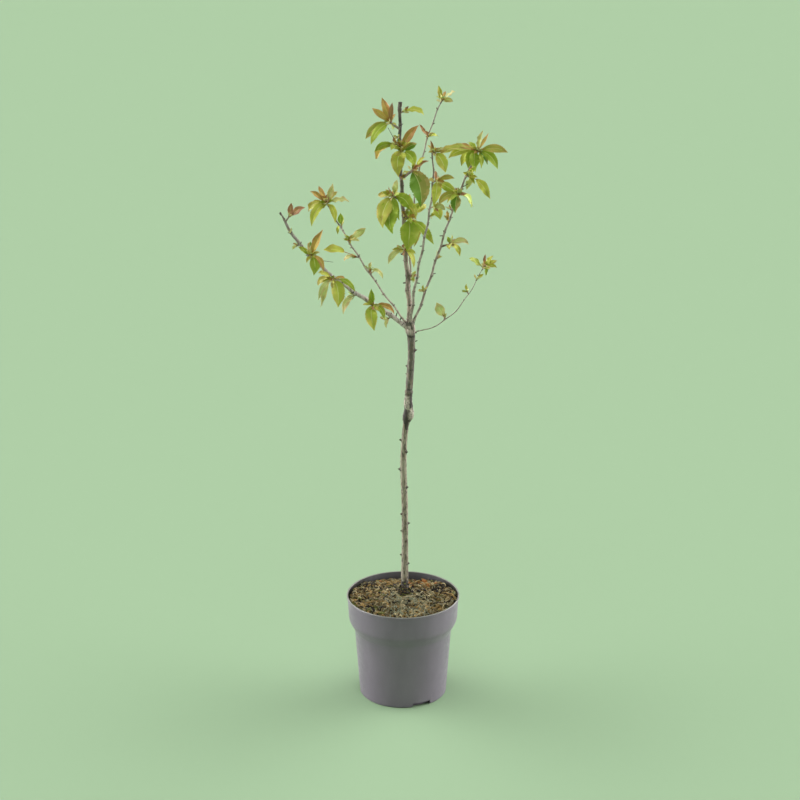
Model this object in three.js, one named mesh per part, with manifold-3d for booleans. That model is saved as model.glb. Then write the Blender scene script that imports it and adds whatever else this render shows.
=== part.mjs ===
// A young yellow cherry tree in its plastic nursery pot, about 1.1 m tall: a slim grafted stem, seven pruned
// boughs that spring from one fork, and small masses of young leaves on the short spurs along them.
// Millimetres, +Z up. The origin is the centre of the pot's flat underside. -Y is the front of the crown,
// and -X its left, where the lowest bough reaches out.
import * as THREE from "three";
import { mergeVertices } from "three/addons/utils/BufferGeometryUtils.js";
import Module from "manifold-3d";

const wasm = await Module();
wasm.setup();

// Driving dimensions

// A pot of about four litres: a deep rim band, a sloped shoulder under it, and a body that tapers to the foot
const POT_HEIGHT = 185.5;
const RIM_RADIUS = 99.3;
const LIP_DEPTH = 4;
const LIP_PROUD = 1.6;
const BAND_TOP_RADIUS = 97.6;
const BAND_FOOT_RADIUS = 95.2;
const BAND_FOOT_HEIGHT = 146;
const BAND_TUCK = 1.6; // how far the band draws in at its lower edge
const BAND_TUCK_DEPTH = 11;
const SHOULDER_RADIUS = 84;
const SHOULDER_HEIGHT = 120;
const SHOULDER_STEP = 5;
const SHOULDER_RISE = 6;
const FOOT_RADIUS = 76.5;
const FOOT_CHAMFER = 2;
const FLOOR_CHAMFER = 1;
const POT_WALL = 2.2;
const POT_SIDES = 40;

// Three drain slots in the corner between the wall and the underside
const SLOT_COUNT = 3;
const SLOT_WIDTH = 34;
const SLOT_HEIGHT = 7;
const SLOT_DEPTH = 9;
const SLOT_TURN_DEG = 25.5;

// The potting mix: low at the wall and heaped up to the stem
const SOIL_EDGE_HEIGHT = 169;
const SOIL_HEAP_HEIGHT = 184;
const SOIL_LEVEL_RADIUS = 14;
const SOIL_FLOOR_RADIUS = 64;
const CORNER_FILL = 8; // the height over which the mix draws in from the drain slots
const SOIL_FALL = 1.2; // how the heap's slope steepens towards the wall
const SOIL_RINGS = [0.78, 0.56, 0.34];
const SOIL_ROUGHNESS = 1.6;
const SOIL_SIDES = 32;
const SOIL_EASE = 0.6; // the most that its coarser sides draw in from the pot's finer wall

// Pieces that meet are kept this far apart
const GAP = 0.3;

// The stem, from the flat cut on the soil to the fork: how far right it leans at each height, and its radius
const STEM_STATIONS = [
  { height: SOIL_HEAP_HEIGHT + GAP, lean: 2.6, radius: 9.4 },
  { height: 190, lean: 2.6, radius: 7.2 },
  { height: 206, lean: 2.8, radius: 6.2 },
  { height: 290, lean: 3.4, radius: 5.6 },
  { height: 366, lean: 2.7, radius: 5.3 },
  { height: 431, lean: 0.6, radius: 5.4 },
  { height: 478, lean: 2.2, radius: 5.0 },
  { height: 505, lean: 4.8, radius: 5.2 },
  { height: 523, lean: 7.4, radius: 8.0 },
  { height: 540, lean: 8.4, radius: 7.6 },
  { height: 560, lean: 9.6, radius: 6.2 },
  { height: 590, lean: 11.4, radius: 5.5 },
  { height: 630, lean: 13.8, radius: 5.5 },
  { height: 664, lean: 13.8, radius: 6.2 },
  { height: 682, lean: 12.2, radius: 7.6 },
  { height: 694, lean: 11.6, radius: 6.6 },
];
const STEM_SIDES = 10;
const STEM_STEPS = 28;

// The boughs. Each starts in the fork and tapers to its tip, along a curve that leaves the fork by one handle
// and reaches the tip along the other.
const BOUGHS = {
  leader: {
    foot: [11.5, 0, 686],
    tip: [-5, -10, 1080],
    leave: [-4, -2, 130],
    arrive: [-4, 3, -129],
    radii: [4.4, 3.0],
  },
  low_left: {
    foot: [9, 0, 684],
    tip: [-204, -40, 900],
    leave: [-82, -15, 64],
    arrive: [40, 15, -102],
    radii: [3.5, 2.5],
  },
  upper_left: {
    foot: [8, 2, 689],
    tip: [-133, 90, 881],
    leave: [-56, 30, 60],
    arrive: [38, -29, -62],
    radii: [2.0, 1.6],
  },
  front: {
    foot: [13, -3, 688],
    tip: [47, -80, 1016],
    leave: [4, -26, 118],
    arrive: [12, 27, -104],
    radii: [2.8, 1.5],
  },
  back: {
    foot: [12, 3, 688],
    tip: [63, 45, 1065],
    leave: [-2, 14, 134],
    arrive: [-52, -15, -114],
    radii: [2.3, 1.2],
  },
  right: {
    foot: [15, -1, 686],
    tip: [124, 40, 978],
    leave: [42, 14, 98],
    arrive: [-49, -14, -91],
    radii: [2.4, 1.8],
  },
  low_right: {
    foot: [14, 1, 674],
    tip: [135, 60, 767],
    leave: [68, 24, 1],
    arrive: [-27, -22, -48],
    radii: [1.25, 0.95],
  },
};
const COLLAR_LENGTH = 0.05; // share of a bough over which it swells into the fork
const COLLAR_SWELL = 0.45;
const BUD_SPACING = 26; // the wood turns a little at each bud
const BUD_KINK = 0.9;
const KINK_FADE = 0.3; // the share of the turn that is lost towards the tip
const FLAT_SIDE = 1.1; // a space with flat sides is this much wider, to keep its margin all round
const BOUGH_SIDES = 8;
const BOUGH_STEP = 24;

// A leaf's colour goes with its age: young ones are coppery, narrow and folded, grown ones green and broad
const LEAF_KINDS = {
  lime: { breadth: 0.42, fold: 0.32 },
  green: { breadth: 0.44, fold: 0.28 },
  deep: { breadth: 0.42, fold: 0.2 },
  bronze: { breadth: 0.38, fold: 0.38 },
  copper: { breadth: 0.34, fold: 0.5 },
  rose: { breadth: 0.3, fold: 0.55 },
};
const BROAD_EXTRA = 0.13; // a leaf that turns its face to the front has had the room to grow wider
const FACE_ON = true;

// The spurs: the bough that each grows on, how far along it, its short shoot, and its leaves. A shoot has a
// bearing, a length, and how much it points to the front (to the back where that is negative). A leaf has the
// bearing of its tip, the tip's reach from the bough, and its kind. Bearings are turned in the crown's front
// plane, from 0 at the right through 90 straight up.
const SPURS = [
  { on: "low_left", at: 0.94, shoot: [60, 9, 0.2], leaves: [[63, 36, "rose"], [45, 41, "rose"]] },
  { on: "low_left", at: 0.78, shoot: [175, 4, 0.2], leaves: [[171, 14, "copper"], [120, 10, "lime"]] },
  {
    on: "low_left", at: 0.69, shoot: [40, 7, 0.8],
    leaves: [
      [69, 48, "copper"], [95, 30, "deep"], [137, 27, "green"], [280, 34, "green", FACE_ON],
      [310, 34, "copper"],
    ],
  },
  {
    on: "low_left", at: 0.5, shoot: [250, 6, 0.7],
    leaves: [
      [160, 31, "lime"], [204, 36, "bronze"], [233, 48, "lime"], [247, 60, "lime"],
      [274, 51, "lime", FACE_ON], [5, 16, "copper"], [318, 44, "green"],
    ],
  },
  { on: "low_left", at: 0.34, shoot: [225, 4, -0.3], leaves: [[232, 43, "lime"], [180, 16, "green"]] },
  {
    on: "low_left", at: 0.23, shoot: [300, 6, 0.8],
    leaves: [
      [99, 29, "green"], [270, 45, "lime", FACE_ON], [173, 20, "lime"], [305, 30, "green"],
      [339, 38, "copper"],
    ],
  },
  { on: "low_left", at: 0.11, shoot: [250, 4, 0.2], leaves: [[242, 24, "lime"]] },
  {
    on: "upper_left", at: 0.96, shoot: [110, 6, 0.7],
    leaves: [
      [140, 39, "copper"], [115, 39, "copper"], [77, 38, "lime"], [60, 32, "bronze"], [11, 37, "lime"],
      [200, 39, "lime"], [232, 47, "lime"], [292, 34, "green"],
    ],
  },
  { on: "upper_left", at: 0.77, shoot: [90, 4, -0.4], leaves: [[92, 26, "green"], [240, 13, "lime"]] },
  {
    on: "upper_left", at: 0.66, shoot: [50, 5, 0.6],
    leaves: [[41, 37, "lime"], [118, 18, "lime"], [11, 18, "lime"]],
  },
  { on: "upper_left", at: 0.54, shoot: [165, 5, -0.3], leaves: [[166, 60, "lime"], [193, 29, "lime"]] },
  { on: "upper_left", at: 0.42, shoot: [350, 4, 0.3], leaves: [[338, 26, "lime"], [70, 11, "green"]] },
  { on: "leader", at: 0.95, shoot: [20, 4, 0.3], leaves: [[357, 41, "lime"]] },
  {
    on: "leader", at: 0.88, shoot: [138, 22, 0.2],
    leaves: [
      [145, 53, "copper"], [119, 52, "copper"], [108, 40, "rose"], [196, 60, "bronze"], [208, 55, "lime"],
    ],
  },
  { on: "leader", at: 0.84, shoot: [50, 6, 0.3], leaves: [[42, 41, "bronze"], [100, 17, "green"]] },
  {
    on: "leader", at: 0.8, shoot: [165, 6, 0.1],
    leaves: [[190, 43, "green"], [208, 49, "bronze"], [120, 22, "rose"]],
  },
  {
    on: "leader", at: 0.775, shoot: [340, 7, 0.7],
    leaves: [
      [271, 45, "lime", FACE_ON], [309, 38, "green", FACE_ON], [350, 47, "lime"], [20, 28, "deep"],
      [60, 20, "copper"],
    ],
  },
  { on: "leader", at: 0.66, shoot: [38, 30, 0.55], leaves: [[38, 54, "rose"], [303, 60, "green", FACE_ON]] },
  {
    on: "leader", at: 0.565, shoot: [145, 16, 0.3],
    leaves: [
      [102, 38, "green"], [170, 42, "rose"], [233, 60, "bronze", FACE_ON], [251, 62, "green", FACE_ON],
      [264, 34, "bronze"],
    ],
  },
  { on: "leader", at: 0.54, shoot: [20, 5, -0.4], leaves: [[318, 30, "lime"], [48, 14, "lime"]] },
  {
    on: "leader", at: 0.475, shoot: [330, 9, 0.5],
    leaves: [
      [272, 57, "green", FACE_ON], [289, 55, "lime", FACE_ON], [314, 62, "lime", FACE_ON], [52, 42, "green"],
      [8, 22, "copper"], [34, 45, "lime"],
    ],
  },
  {
    on: "leader", at: 0.34, shoot: [215, 5, 0.6],
    leaves: [[217, 38, "rose"], [296, 32, "lime"], [345, 17, "lime"]],
  },
  { on: "leader", at: 0.22, shoot: [20, 4, 0.3], leaves: [[49, 17, "green"], [317, 12, "green"]] },
  {
    on: "front", at: 0.98, shoot: [60, 6, 0.4],
    leaves: [[93, 36, "rose"], [320, 28, "lime", FACE_ON], [55, 25, "lime"]],
  },
  {
    on: "front", at: 0.82, shoot: [0, 6, 0.4],
    leaves: [[10, 36, "bronze"], [66, 16, "copper"], [275, 34, "lime"]],
  },
  { on: "front", at: 0.67, shoot: [340, 5, 0.4], leaves: [[316, 33, "lime", FACE_ON], [3, 25, "deep"]] },
  {
    on: "back", at: 1, shoot: [65, 4, 0.2],
    leaves: [[99, 29, "bronze"], [70, 23, "copper"], [41, 29, "lime"], [4, 20, "lime"]],
  },
  {
    on: "back", at: 0.83, shoot: [70, 5, 0.6],
    leaves: [[118, 27, "rose"], [19, 22, "lime"], [338, 14, "green"]],
  },
  {
    on: "right", at: 0.99, shoot: [75, 10, 0.3],
    leaves: [
      [177, 66, "bronze"], [183, 48, "lime"], [155, 40, "copper"], [218, 32, "lime"], [261, 24, "green"],
      [117, 30, "green"], [80, 42, "rose"], [62, 44, "rose"], [5, 51, "bronze"], [326, 43, "lime"],
      [318, 25, "deep"], [150, 24, "green"], [290, 24, "lime"],
    ],
  },
  {
    on: "right", at: 0.86, shoot: [0, 6, 0.5],
    leaves: [[309, 47, "lime", FACE_ON], [275, 23, "lime"], [48, 22, "green"]],
  },
  {
    on: "right", at: 0.75, shoot: [220, 6, 0.8],
    leaves: [
      [143, 37, "green"], [201, 30, "bronze"], [280, 24, "deep", FACE_ON], [321, 36, "lime"],
      [215, 22, "lime"],
    ],
  },
  { on: "right", at: 0.6, shoot: [120, 4, 0.3], leaves: [[99, 20, "copper"]] },
  {
    on: "right", at: 0.46, shoot: [10, 14, 0.2],
    leaves: [[7, 47, "bronze"], [330, 38, "lime"], [60, 20, "green"]],
  },
  { on: "right", at: 0.19, shoot: [140, 4, 0.7], leaves: [[67, 14, "lime"], [150, 12, "green"]] },
  {
    on: "low_right", at: 1, shoot: [60, 4, 0.2],
    leaves: [
      [132, 27, "green"], [80, 29, "rose"], [57, 28, "lime"], [33, 29, "bronze"], [14, 21, "lime"],
    ],
  },
  { on: "low_right", at: 0.72, shoot: [140, 4, 0.3], leaves: [[157, 12, "bronze"], [110, 9, "green"]] },
  { on: "low_right", at: 0.34, shoot: [105, 4, 0.3], leaves: [[113, 33, "lime", FACE_ON]] },
];
const SHOOT_RADII = [1.5, 1.05];
const SHOOT_TO_LIMB = 1.2; // a shoot is at most this much thicker than its bough
const SHOOT_SIDES = 5;
const SHOOT_STEPS = 2;
const SIDEWAYS = 0.5; // how much of its way a shoot still goes along its bough
const SHOOT_STRAY = 0.3;
const TIP_FROM = 0.97; // a shoot this far along a bough carries straight on from its tip
const ROOT_SHARE = [0.8, 0.95]; // where on its shoot a leaf is rooted
const LEAF_TILT_DEG = [12, 38]; // how far a leaf leans to the front or the back
const FACE_TILT_DEG = [10, 22];
// Other leans for a leaf that wood stands in the way of: the side, and the further tilt in degrees
const TILT_TRIES = [[1, 0], [1, 12], [-1, 0], [-1, 12], [1, 26], [-1, 26], [1, 38], [-1, 38]];
const CLEAR_STATIONS = [0.1, 0.2, 0.4, 0.6, 0.8, 1];
const CLEARANCE = 1.2;
const SAMPLE_SPACING = 3;
const STALK_SHARE = 0.2;
const STALK_RADIUS = 0.55;
const BLADE_HALF_THICKNESS = 0.42;
const BLADE_TIP_RADIUS = 0.3;
const ARCH = 0.14; // how high a leaf arches, as a share of its length
const ARCH_AT = 0.45;
// A leaf arches up and outwards, and turns its face up and outwards too
const LIFT_UP = 0.8;
const LIFT_OUT = 0.6;
const FACING_OUT = 0.55;
const FACE_STRAY = 0.5;
// The blade's stations, as shares of its length, and its half breadth there
const BLADE_STATIONS = [[0, 0], [0.3, 0.9], [0.64, 0.86], [1, 0]];
// The spurs are rosettes, so most also have leaves that point out to the back and the front
const DEPTH_LEAVES_FROM = 3; // on spurs with at least so many leaves
const DEPTH_LEAF_REACH = [22, 38];
const DEPTH_LEAF_TURN = [-50, 50];
const DEPTH_LEAF_SPREAD = 0.4;
const DEPTH_LEAF_LEAN = 0.8;
const OPEN_LEAN = 0.35; // a shoot that leans further than this to one side bears none to the other
const LIKELY_KINDS = ["lime", "green", "bronze", "lime"];

// The line from the crown to a viewer in front of it, who looks down on it by 17 degrees
const TOWARD_VIEWER = new THREE.Vector3(0, -1, 0.3);
const DEPTH = new THREE.Vector3(0, 1, 0);

// Materials

const plastic = new THREE.MeshStandardMaterial({ color: 0x6e6d70, roughness: 0.55, metalness: 0 });
const mix = new THREE.MeshStandardMaterial({ color: 0x5b4d36, roughness: 1, metalness: 0 });
const bark = new THREE.MeshStandardMaterial({ color: 0x857c70, roughness: 0.85, metalness: 0 });
const foliage = new THREE.MeshStandardMaterial({ color: 0x9da63f, roughness: 0.5, metalness: 0 });

// Closed forms and solids

// Random numbers from 0 to 1 that are the same on every run.
function seeded(seed) {
  const PRIME = 2147483647;
  const STEP = 16807;
  let state = (seed * 7919) % PRIME;
  return () => {
    state = (state * STEP) % PRIME;
    return state / PRIME;
  };
}

function between([low, high], share) {
  return low + (high - low) * share;
}

function radians(degrees) {
  return THREE.MathUtils.degToRad(degrees);
}

function vector([x, y, z]) {
  return new THREE.Vector3(x, y, z);
}

// A solid for joining and cutting, from a closed geometry.
function solidOf(geometry) {
  const bare = new THREE.BufferGeometry();
  bare.setAttribute("position", geometry.getAttribute("position"));
  bare.setIndex(geometry.getIndex());
  const merged = mergeVertices(bare, 1e-4);
  const triVerts = new Uint32Array(merged.getIndex().array);
  const vertProperties = merged.getAttribute("position").array;
  return new wasm.Manifold(new wasm.Mesh({ numProp: 3, vertProperties, triVerts }));
}

function geometryOf(solid) {
  const mesh = solid.getMesh();
  const geometry = new THREE.BufferGeometry();
  geometry.setAttribute("position", new THREE.BufferAttribute(mesh.vertProperties, 3));
  geometry.setIndex(new THREE.BufferAttribute(mesh.triVerts, 1));
  geometry.computeVertexNormals();
  return geometry;
}

function largestPart(solid) {
  return solid.decompose().reduce((best, part) => (part.volume() > best.volume() ? part : best));
}

// A closed form of a few sides, whose points are placed by pointAt(share along it, across, over).
function sweptForm(sides, steps, pointAt) {
  const form = new THREE.CylinderGeometry(1, 1, 1, sides, steps);
  const position = form.getAttribute("position");
  for (let i = 0; i < position.count; i += 1) {
    const point = pointAt(position.getY(i) + 0.5, position.getX(i), position.getZ(i));
    position.setXYZ(i, point.x, point.y, point.z);
  }
  return solidOf(form);
}

// The directions across and over a line that runs along `tangent`, with `over` as near `wanted` as it can be.
function frameAlong(tangent, wanted) {
  const across = new THREE.Vector3().crossVectors(tangent, wanted).normalize();
  const over = new THREE.Vector3().crossVectors(across, tangent);
  return { across, over };
}

// The wood: the stem and the boughs are limbs, each with a course and a radius at any share of its length

function smoothStep(share) {
  return THREE.MathUtils.smoothstep(share, 0, 1);
}

const stemPath = new THREE.CatmullRomCurve3(
  STEM_STATIONS.map(({ height, lean }) => new THREE.Vector3(lean, 0, height)),
  false,
  "centripetal",
);

// The stem's radius at a height, eased from one station to the next.
function stemRadius(height) {
  const above = STEM_STATIONS.findIndex((station) => station.height >= height);
  if (above < 1) return (above ? STEM_STATIONS.at(-1) : STEM_STATIONS[0]).radius;
  const [low, high] = [STEM_STATIONS[above - 1], STEM_STATIONS[above]];
  const share = smoothStep((height - low.height) / (high.height - low.height));
  return between([low.radius, high.radius], share);
}

const stem = {
  length: stemPath.getLength(),
  course: (share) => stemPath.getPoint(share),
  heading: (share) => stemPath.getTangent(share),
  radius: (share) => stemRadius(stemPath.getPoint(share).z),
};

function boughLimb({ foot, tip, leave, arrive, radii }) {
  const [start, end] = [vector(foot), vector(tip)];
  const curve = new THREE.CubicBezierCurve3(
    start,
    start.clone().add(vector(leave)),
    end.clone().add(vector(arrive)),
    end,
  );
  const length = curve.getLength();
  const buds = Math.round(length / BUD_SPACING);
  const course = (share) => {
    const kink = BUD_KINK * Math.sin(Math.PI * buds * share) * (1 - share * KINK_FADE);
    const { across } = frameAlong(curve.getTangent(share), DEPTH);
    return curve.getPoint(share).addScaledVector(across, kink);
  };
  const radius = (share) => {
    const collar = 1 + COLLAR_SWELL * (1 - smoothStep(share / COLLAR_LENGTH));
    return between(radii, share) * collar;
  };
  return { length, course, heading: (share) => curve.getTangent(share), radius };
}

// The solid of a limb, or, with some margin, the space that other pieces leave free for it.
function limbSolid(limb, sides, steps, margin = 0) {
  return sweptForm(sides, steps, (share, x, z) => {
    const { across, over } = frameAlong(limb.heading(share), DEPTH);
    const radius = limb.radius(share) + margin * FLAT_SIDE;
    const past = share === 0 ? -margin : share === 1 ? margin : 0;
    return limb
      .course(share)
      .addScaledVector(limb.heading(share), past)
      .addScaledVector(across, radius * x)
      .addScaledVector(over, radius * z);
  });
}

// Takes the space of the limbs made so far out of a piece, so that it stands just clear of them.
function clearOf(solid, spaces) {
  return largestPart(spaces.reduce((rest, space) => rest.subtract(space), solid));
}

// Points along a limb with its radius there, close enough together to measure from.
function limbSamples(limb) {
  const count = Math.round(limb.length / SAMPLE_SPACING);
  return Array.from({ length: count + 1 }, (_, index) => {
    const share = index / count;
    return { point: limb.course(share), radius: limb.radius(share) };
  });
}

// The foliage

// A step in the crown's front plane, along a bearing.
function onBearing(bearing, distance) {
  const turn = radians(bearing);
  return new THREE.Vector3(Math.cos(turn), 0, Math.sin(turn)).multiplyScalar(distance);
}

// Half the blade's breadth, from 0 to 1, at a share of its length.
function bladeShape(share) {
  const above = BLADE_STATIONS.findIndex(([station]) => station >= share - 1e-6);
  if (above < 1) return BLADE_STATIONS[0][1];
  const [[low, lowBreadth], [high, highBreadth]] = [BLADE_STATIONS[above - 1], BLADE_STATIONS[above]];
  return between([lowBreadth, highBreadth], (share - low) / (high - low));
}

// The line that a leaf follows: it arches from its root on the shoot over to its tip.
function midribOf({ root, tip, lift }) {
  const bend = root.clone().lerp(tip, ARCH_AT).addScaledVector(lift, ARCH * root.distanceTo(tip));
  return new THREE.QuadraticBezierCurve3(root, bend, tip);
}

// Half the blade's breadth at a share of the leaf's whole length; it is nothing along the stalk.
function halfBreadth(leaf, share) {
  const breadth = LEAF_KINDS[leaf.kind].breadth + (leaf.faceOn ? BROAD_EXTRA : 0);
  const bladeLength = (1 - STALK_SHARE) * leaf.root.distanceTo(leaf.tip);
  const onBlade = Math.max(0, (share - STALK_SHARE) / (1 - STALK_SHARE));
  return (breadth / 2) * bladeLength * bladeShape(onBlade);
}

// One leaf with its stalk, folded along its midrib, or with some margin the space that it needs.
function leafSolid(leaf, margin = 0) {
  const midrib = midribOf(leaf);
  const { fold } = LEAF_KINDS[leaf.kind];
  const steps = BLADE_STATIONS.length;
  return sweptForm(4, steps, (stage, x, z) => {
    const station = Math.round(stage * steps);
    const share = station > 0 ? STALK_SHARE + (1 - STALK_SHARE) * BLADE_STATIONS[station - 1][0] : 0;
    const { across, over } = frameAlong(midrib.getTangent(share), leaf.facing);
    const slim = station === steps ? BLADE_TIP_RADIUS : STALK_RADIUS;
    const blade = halfBreadth(leaf, share);
    const half = Math.max(slim, blade) + margin;
    const thick = (blade > slim ? BLADE_HALF_THICKNESS : slim) + margin;
    const folded = blade > slim ? fold * blade * Math.abs(x) : 0;
    const past = station === steps ? margin : 0;
    return midrib
      .getPoint(share)
      .addScaledVector(midrib.getTangent(share), past)
      .addScaledVector(across, half * x)
      .addScaledVector(over, thick * z + folded);
  });
}

// Whether a leaf keeps clear of all the wood: its midrib and both its edges are measured at a few stations.
function keepsClear(leaf, wood) {
  const midrib = midribOf(leaf);
  return CLEAR_STATIONS.every((share) => {
    const centre = midrib.getPoint(share);
    const { across } = frameAlong(midrib.getTangent(share), leaf.facing);
    const half = halfBreadth(leaf, share);
    return [-1, 0, 1].every((side) => {
      const point = centre.clone().addScaledVector(across, side * half);
      return wood.every(({ point: heart, radius }) => point.distanceTo(heart) > radius + CLEARANCE);
    });
  });
}

// Where a spur's shoot ends: it leaves the bough sideways, and only a shoot at a tip carries straight on.
function shootEnd(spur, limb, random) {
  const [bearing, length, toFront] = spur.shoot;
  const heading = limb.heading(spur.at);
  const lean = toFront + SHOOT_STRAY * (random() - 0.5);
  const way = onBearing(bearing, 1 - Math.abs(lean)).addScaledVector(TOWARD_VIEWER, lean);
  if (spur.at < TIP_FROM) way.addScaledVector(heading, SIDEWAYS - way.dot(heading));
  return limb.course(spur.at).addScaledVector(way.normalize(), limb.radius(spur.at) + length);
}

// One leaf, leant to the front or the back by its own tilt, or, where wood is in its way, by the first of a
// few other tilts that is clear.
function placeLeaf(spur, foot, shootTip, [bearing, reach, kind, faceOn], side, random, wood) {
  const tilt = between(faceOn ? FACE_TILT_DEG : LEAF_TILT_DEG, random());
  const root = foot.clone().lerp(shootTip, between(ROOT_SHARE, random()));
  const stray = new THREE.Vector3(random() - 0.5, random() - 0.5, random() - 0.5);
  const flat = foot.clone().add(onBearing(bearing, reach));
  const tries = TILT_TRIES.map(([turn, more]) => {
    const lean = side * turn;
    const tip = flat.clone().addScaledVector(TOWARD_VIEWER, lean * reach * Math.tan(radians(tilt + more)));
    const lift = new THREE.Vector3(0, 0, LIFT_UP).addScaledVector(TOWARD_VIEWER, LIFT_OUT * lean);
    const facing = faceOn
      ? TOWARD_VIEWER.clone().addScaledVector(stray, FACE_STRAY)
      : new THREE.Vector3(0, 0, 1).addScaledVector(TOWARD_VIEWER, FACING_OUT * lean).add(stray);
    return { root, tip, lift, facing, kind, faceOn };
  });
  return tries.find((leaf) => keepsClear(leaf, wood)) ?? tries[0];
}

// All the leaves of a spur: those listed, and on a full rosette one to the back and one to the front as well,
// unless the bough itself stands there.
function leafPlan(spur, limb, random, wood) {
  const foot = limb.course(spur.at);
  const shootTip = shootEnd(spur, limb, random);
  const leaves = spur.leaves.map((leaf, index) => {
    const side = leaf[3] || index % 2 === 0 ? 1 : -1;
    return placeLeaf(spur, foot, shootTip, leaf, side, random, wood);
  });
  if (spur.leaves.length < DEPTH_LEAVES_FROM) return { foot, shootTip, leaves };
  for (const side of [-1, 1]) {
    if (side * spur.shoot[2] < -OPEN_LEAN) continue;
    const bearing = spur.shoot[0] + between(DEPTH_LEAF_TURN, random());
    const reach = between(DEPTH_LEAF_REACH, random());
    const kind = LIKELY_KINDS[Math.floor(random() * LIKELY_KINDS.length)];
    const spread = reach * DEPTH_LEAF_SPREAD;
    const leaf = placeLeaf(spur, foot, shootTip, [bearing, spread, kind], side, random, wood);
    leaf.tip.addScaledVector(TOWARD_VIEWER, side * reach * DEPTH_LEAF_LEAN);
    leaves.push(leaf);
  }
  return { foot, shootTip, leaves };
}

// One mass of foliage: the spur's shoot with its leaves fused on. A leaf that would touch a limb or another
// mass is left out.
function spurMass(spur, limb, seed, limbSpaces, masses, wood) {
  const { foot, shootTip, leaves } = leafPlan(spur, limb, seeded(seed), wood);
  const way = shootTip.clone().sub(foot).normalize();
  let mass = sweptForm(SHOOT_SIDES, SHOOT_STEPS, (share, x, z) => {
    const { across, over } = frameAlong(way, DEPTH);
    const radius = Math.min(between(SHOOT_RADII, share), limb.radius(spur.at) * SHOOT_TO_LIMB);
    return foot
      .clone()
      .lerp(shootTip, share)
      .addScaledVector(across, radius * x)
      .addScaledVector(over, radius * z);
  });
  for (const leaf of leaves) {
    const space = leafSolid(leaf, GAP);
    const touches = [...limbSpaces, ...masses].some((other) => !space.intersect(other).isEmpty());
    if (!touches) mass = mass.add(leafSolid(leaf));
  }
  return clearOf(mass, limbSpaces);
}

// The pot and its filling

function potSolid() {
  const outer = [
    [0, 0],
    [FOOT_RADIUS - FOOT_CHAMFER, 0],
    [FOOT_RADIUS, FOOT_CHAMFER],
    [SHOULDER_RADIUS, SHOULDER_HEIGHT],
    [SHOULDER_RADIUS + SHOULDER_STEP, SHOULDER_HEIGHT + SHOULDER_RISE],
    [BAND_FOOT_RADIUS - BAND_TUCK, BAND_FOOT_HEIGHT - BAND_TUCK_DEPTH],
    [BAND_FOOT_RADIUS, BAND_FOOT_HEIGHT],
    [BAND_TOP_RADIUS, POT_HEIGHT - LIP_DEPTH],
    [RIM_RADIUS, POT_HEIGHT - LIP_DEPTH],
    [RIM_RADIUS, POT_HEIGHT],
  ];
  const inner = [
    [RIM_RADIUS - LIP_PROUD - POT_WALL, POT_HEIGHT],
    [BAND_FOOT_RADIUS - POT_WALL, BAND_FOOT_HEIGHT],
    [BAND_FOOT_RADIUS - BAND_TUCK - POT_WALL, BAND_FOOT_HEIGHT - BAND_TUCK_DEPTH],
    [SHOULDER_RADIUS + SHOULDER_STEP - POT_WALL, SHOULDER_HEIGHT + SHOULDER_RISE],
    [SHOULDER_RADIUS - POT_WALL, SHOULDER_HEIGHT],
    [FOOT_RADIUS - POT_WALL, POT_WALL + FLOOR_CHAMFER],
    [FOOT_RADIUS - POT_WALL - FLOOR_CHAMFER, POT_WALL],
    [0, POT_WALL],
  ];
  const profile = [...outer, ...inner].map(([radius, height]) => new THREE.Vector2(radius, height));
  const shell = solidOf(new THREE.LatheGeometry(profile, POT_SIDES).rotateX(Math.PI / 2));
  const slots = Array.from({ length: SLOT_COUNT }, (_, index) => {
    const turn = radians(SLOT_TURN_DEG + (360 / SLOT_COUNT) * index - 90);
    const slot = new THREE.BoxGeometry(2 * SLOT_DEPTH, SLOT_WIDTH, 2 * SLOT_HEIGHT);
    slot.translate(FOOT_RADIUS, 0, 0);
    slot.rotateZ(turn);
    return solidOf(slot);
  });
  return slots.reduce((pot, slot) => pot.subtract(slot), shell);
}

// The inner radius of the pot at a height.
function potBore(height) {
  if (height >= BAND_FOOT_HEIGHT) {
    const share = (height - BAND_FOOT_HEIGHT) / (POT_HEIGHT - BAND_FOOT_HEIGHT);
    return between([BAND_FOOT_RADIUS, RIM_RADIUS - LIP_PROUD], share) - POT_WALL;
  }
  return between([FOOT_RADIUS, SHOULDER_RADIUS], height / SHOULDER_HEIGHT) - POT_WALL;
}

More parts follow.
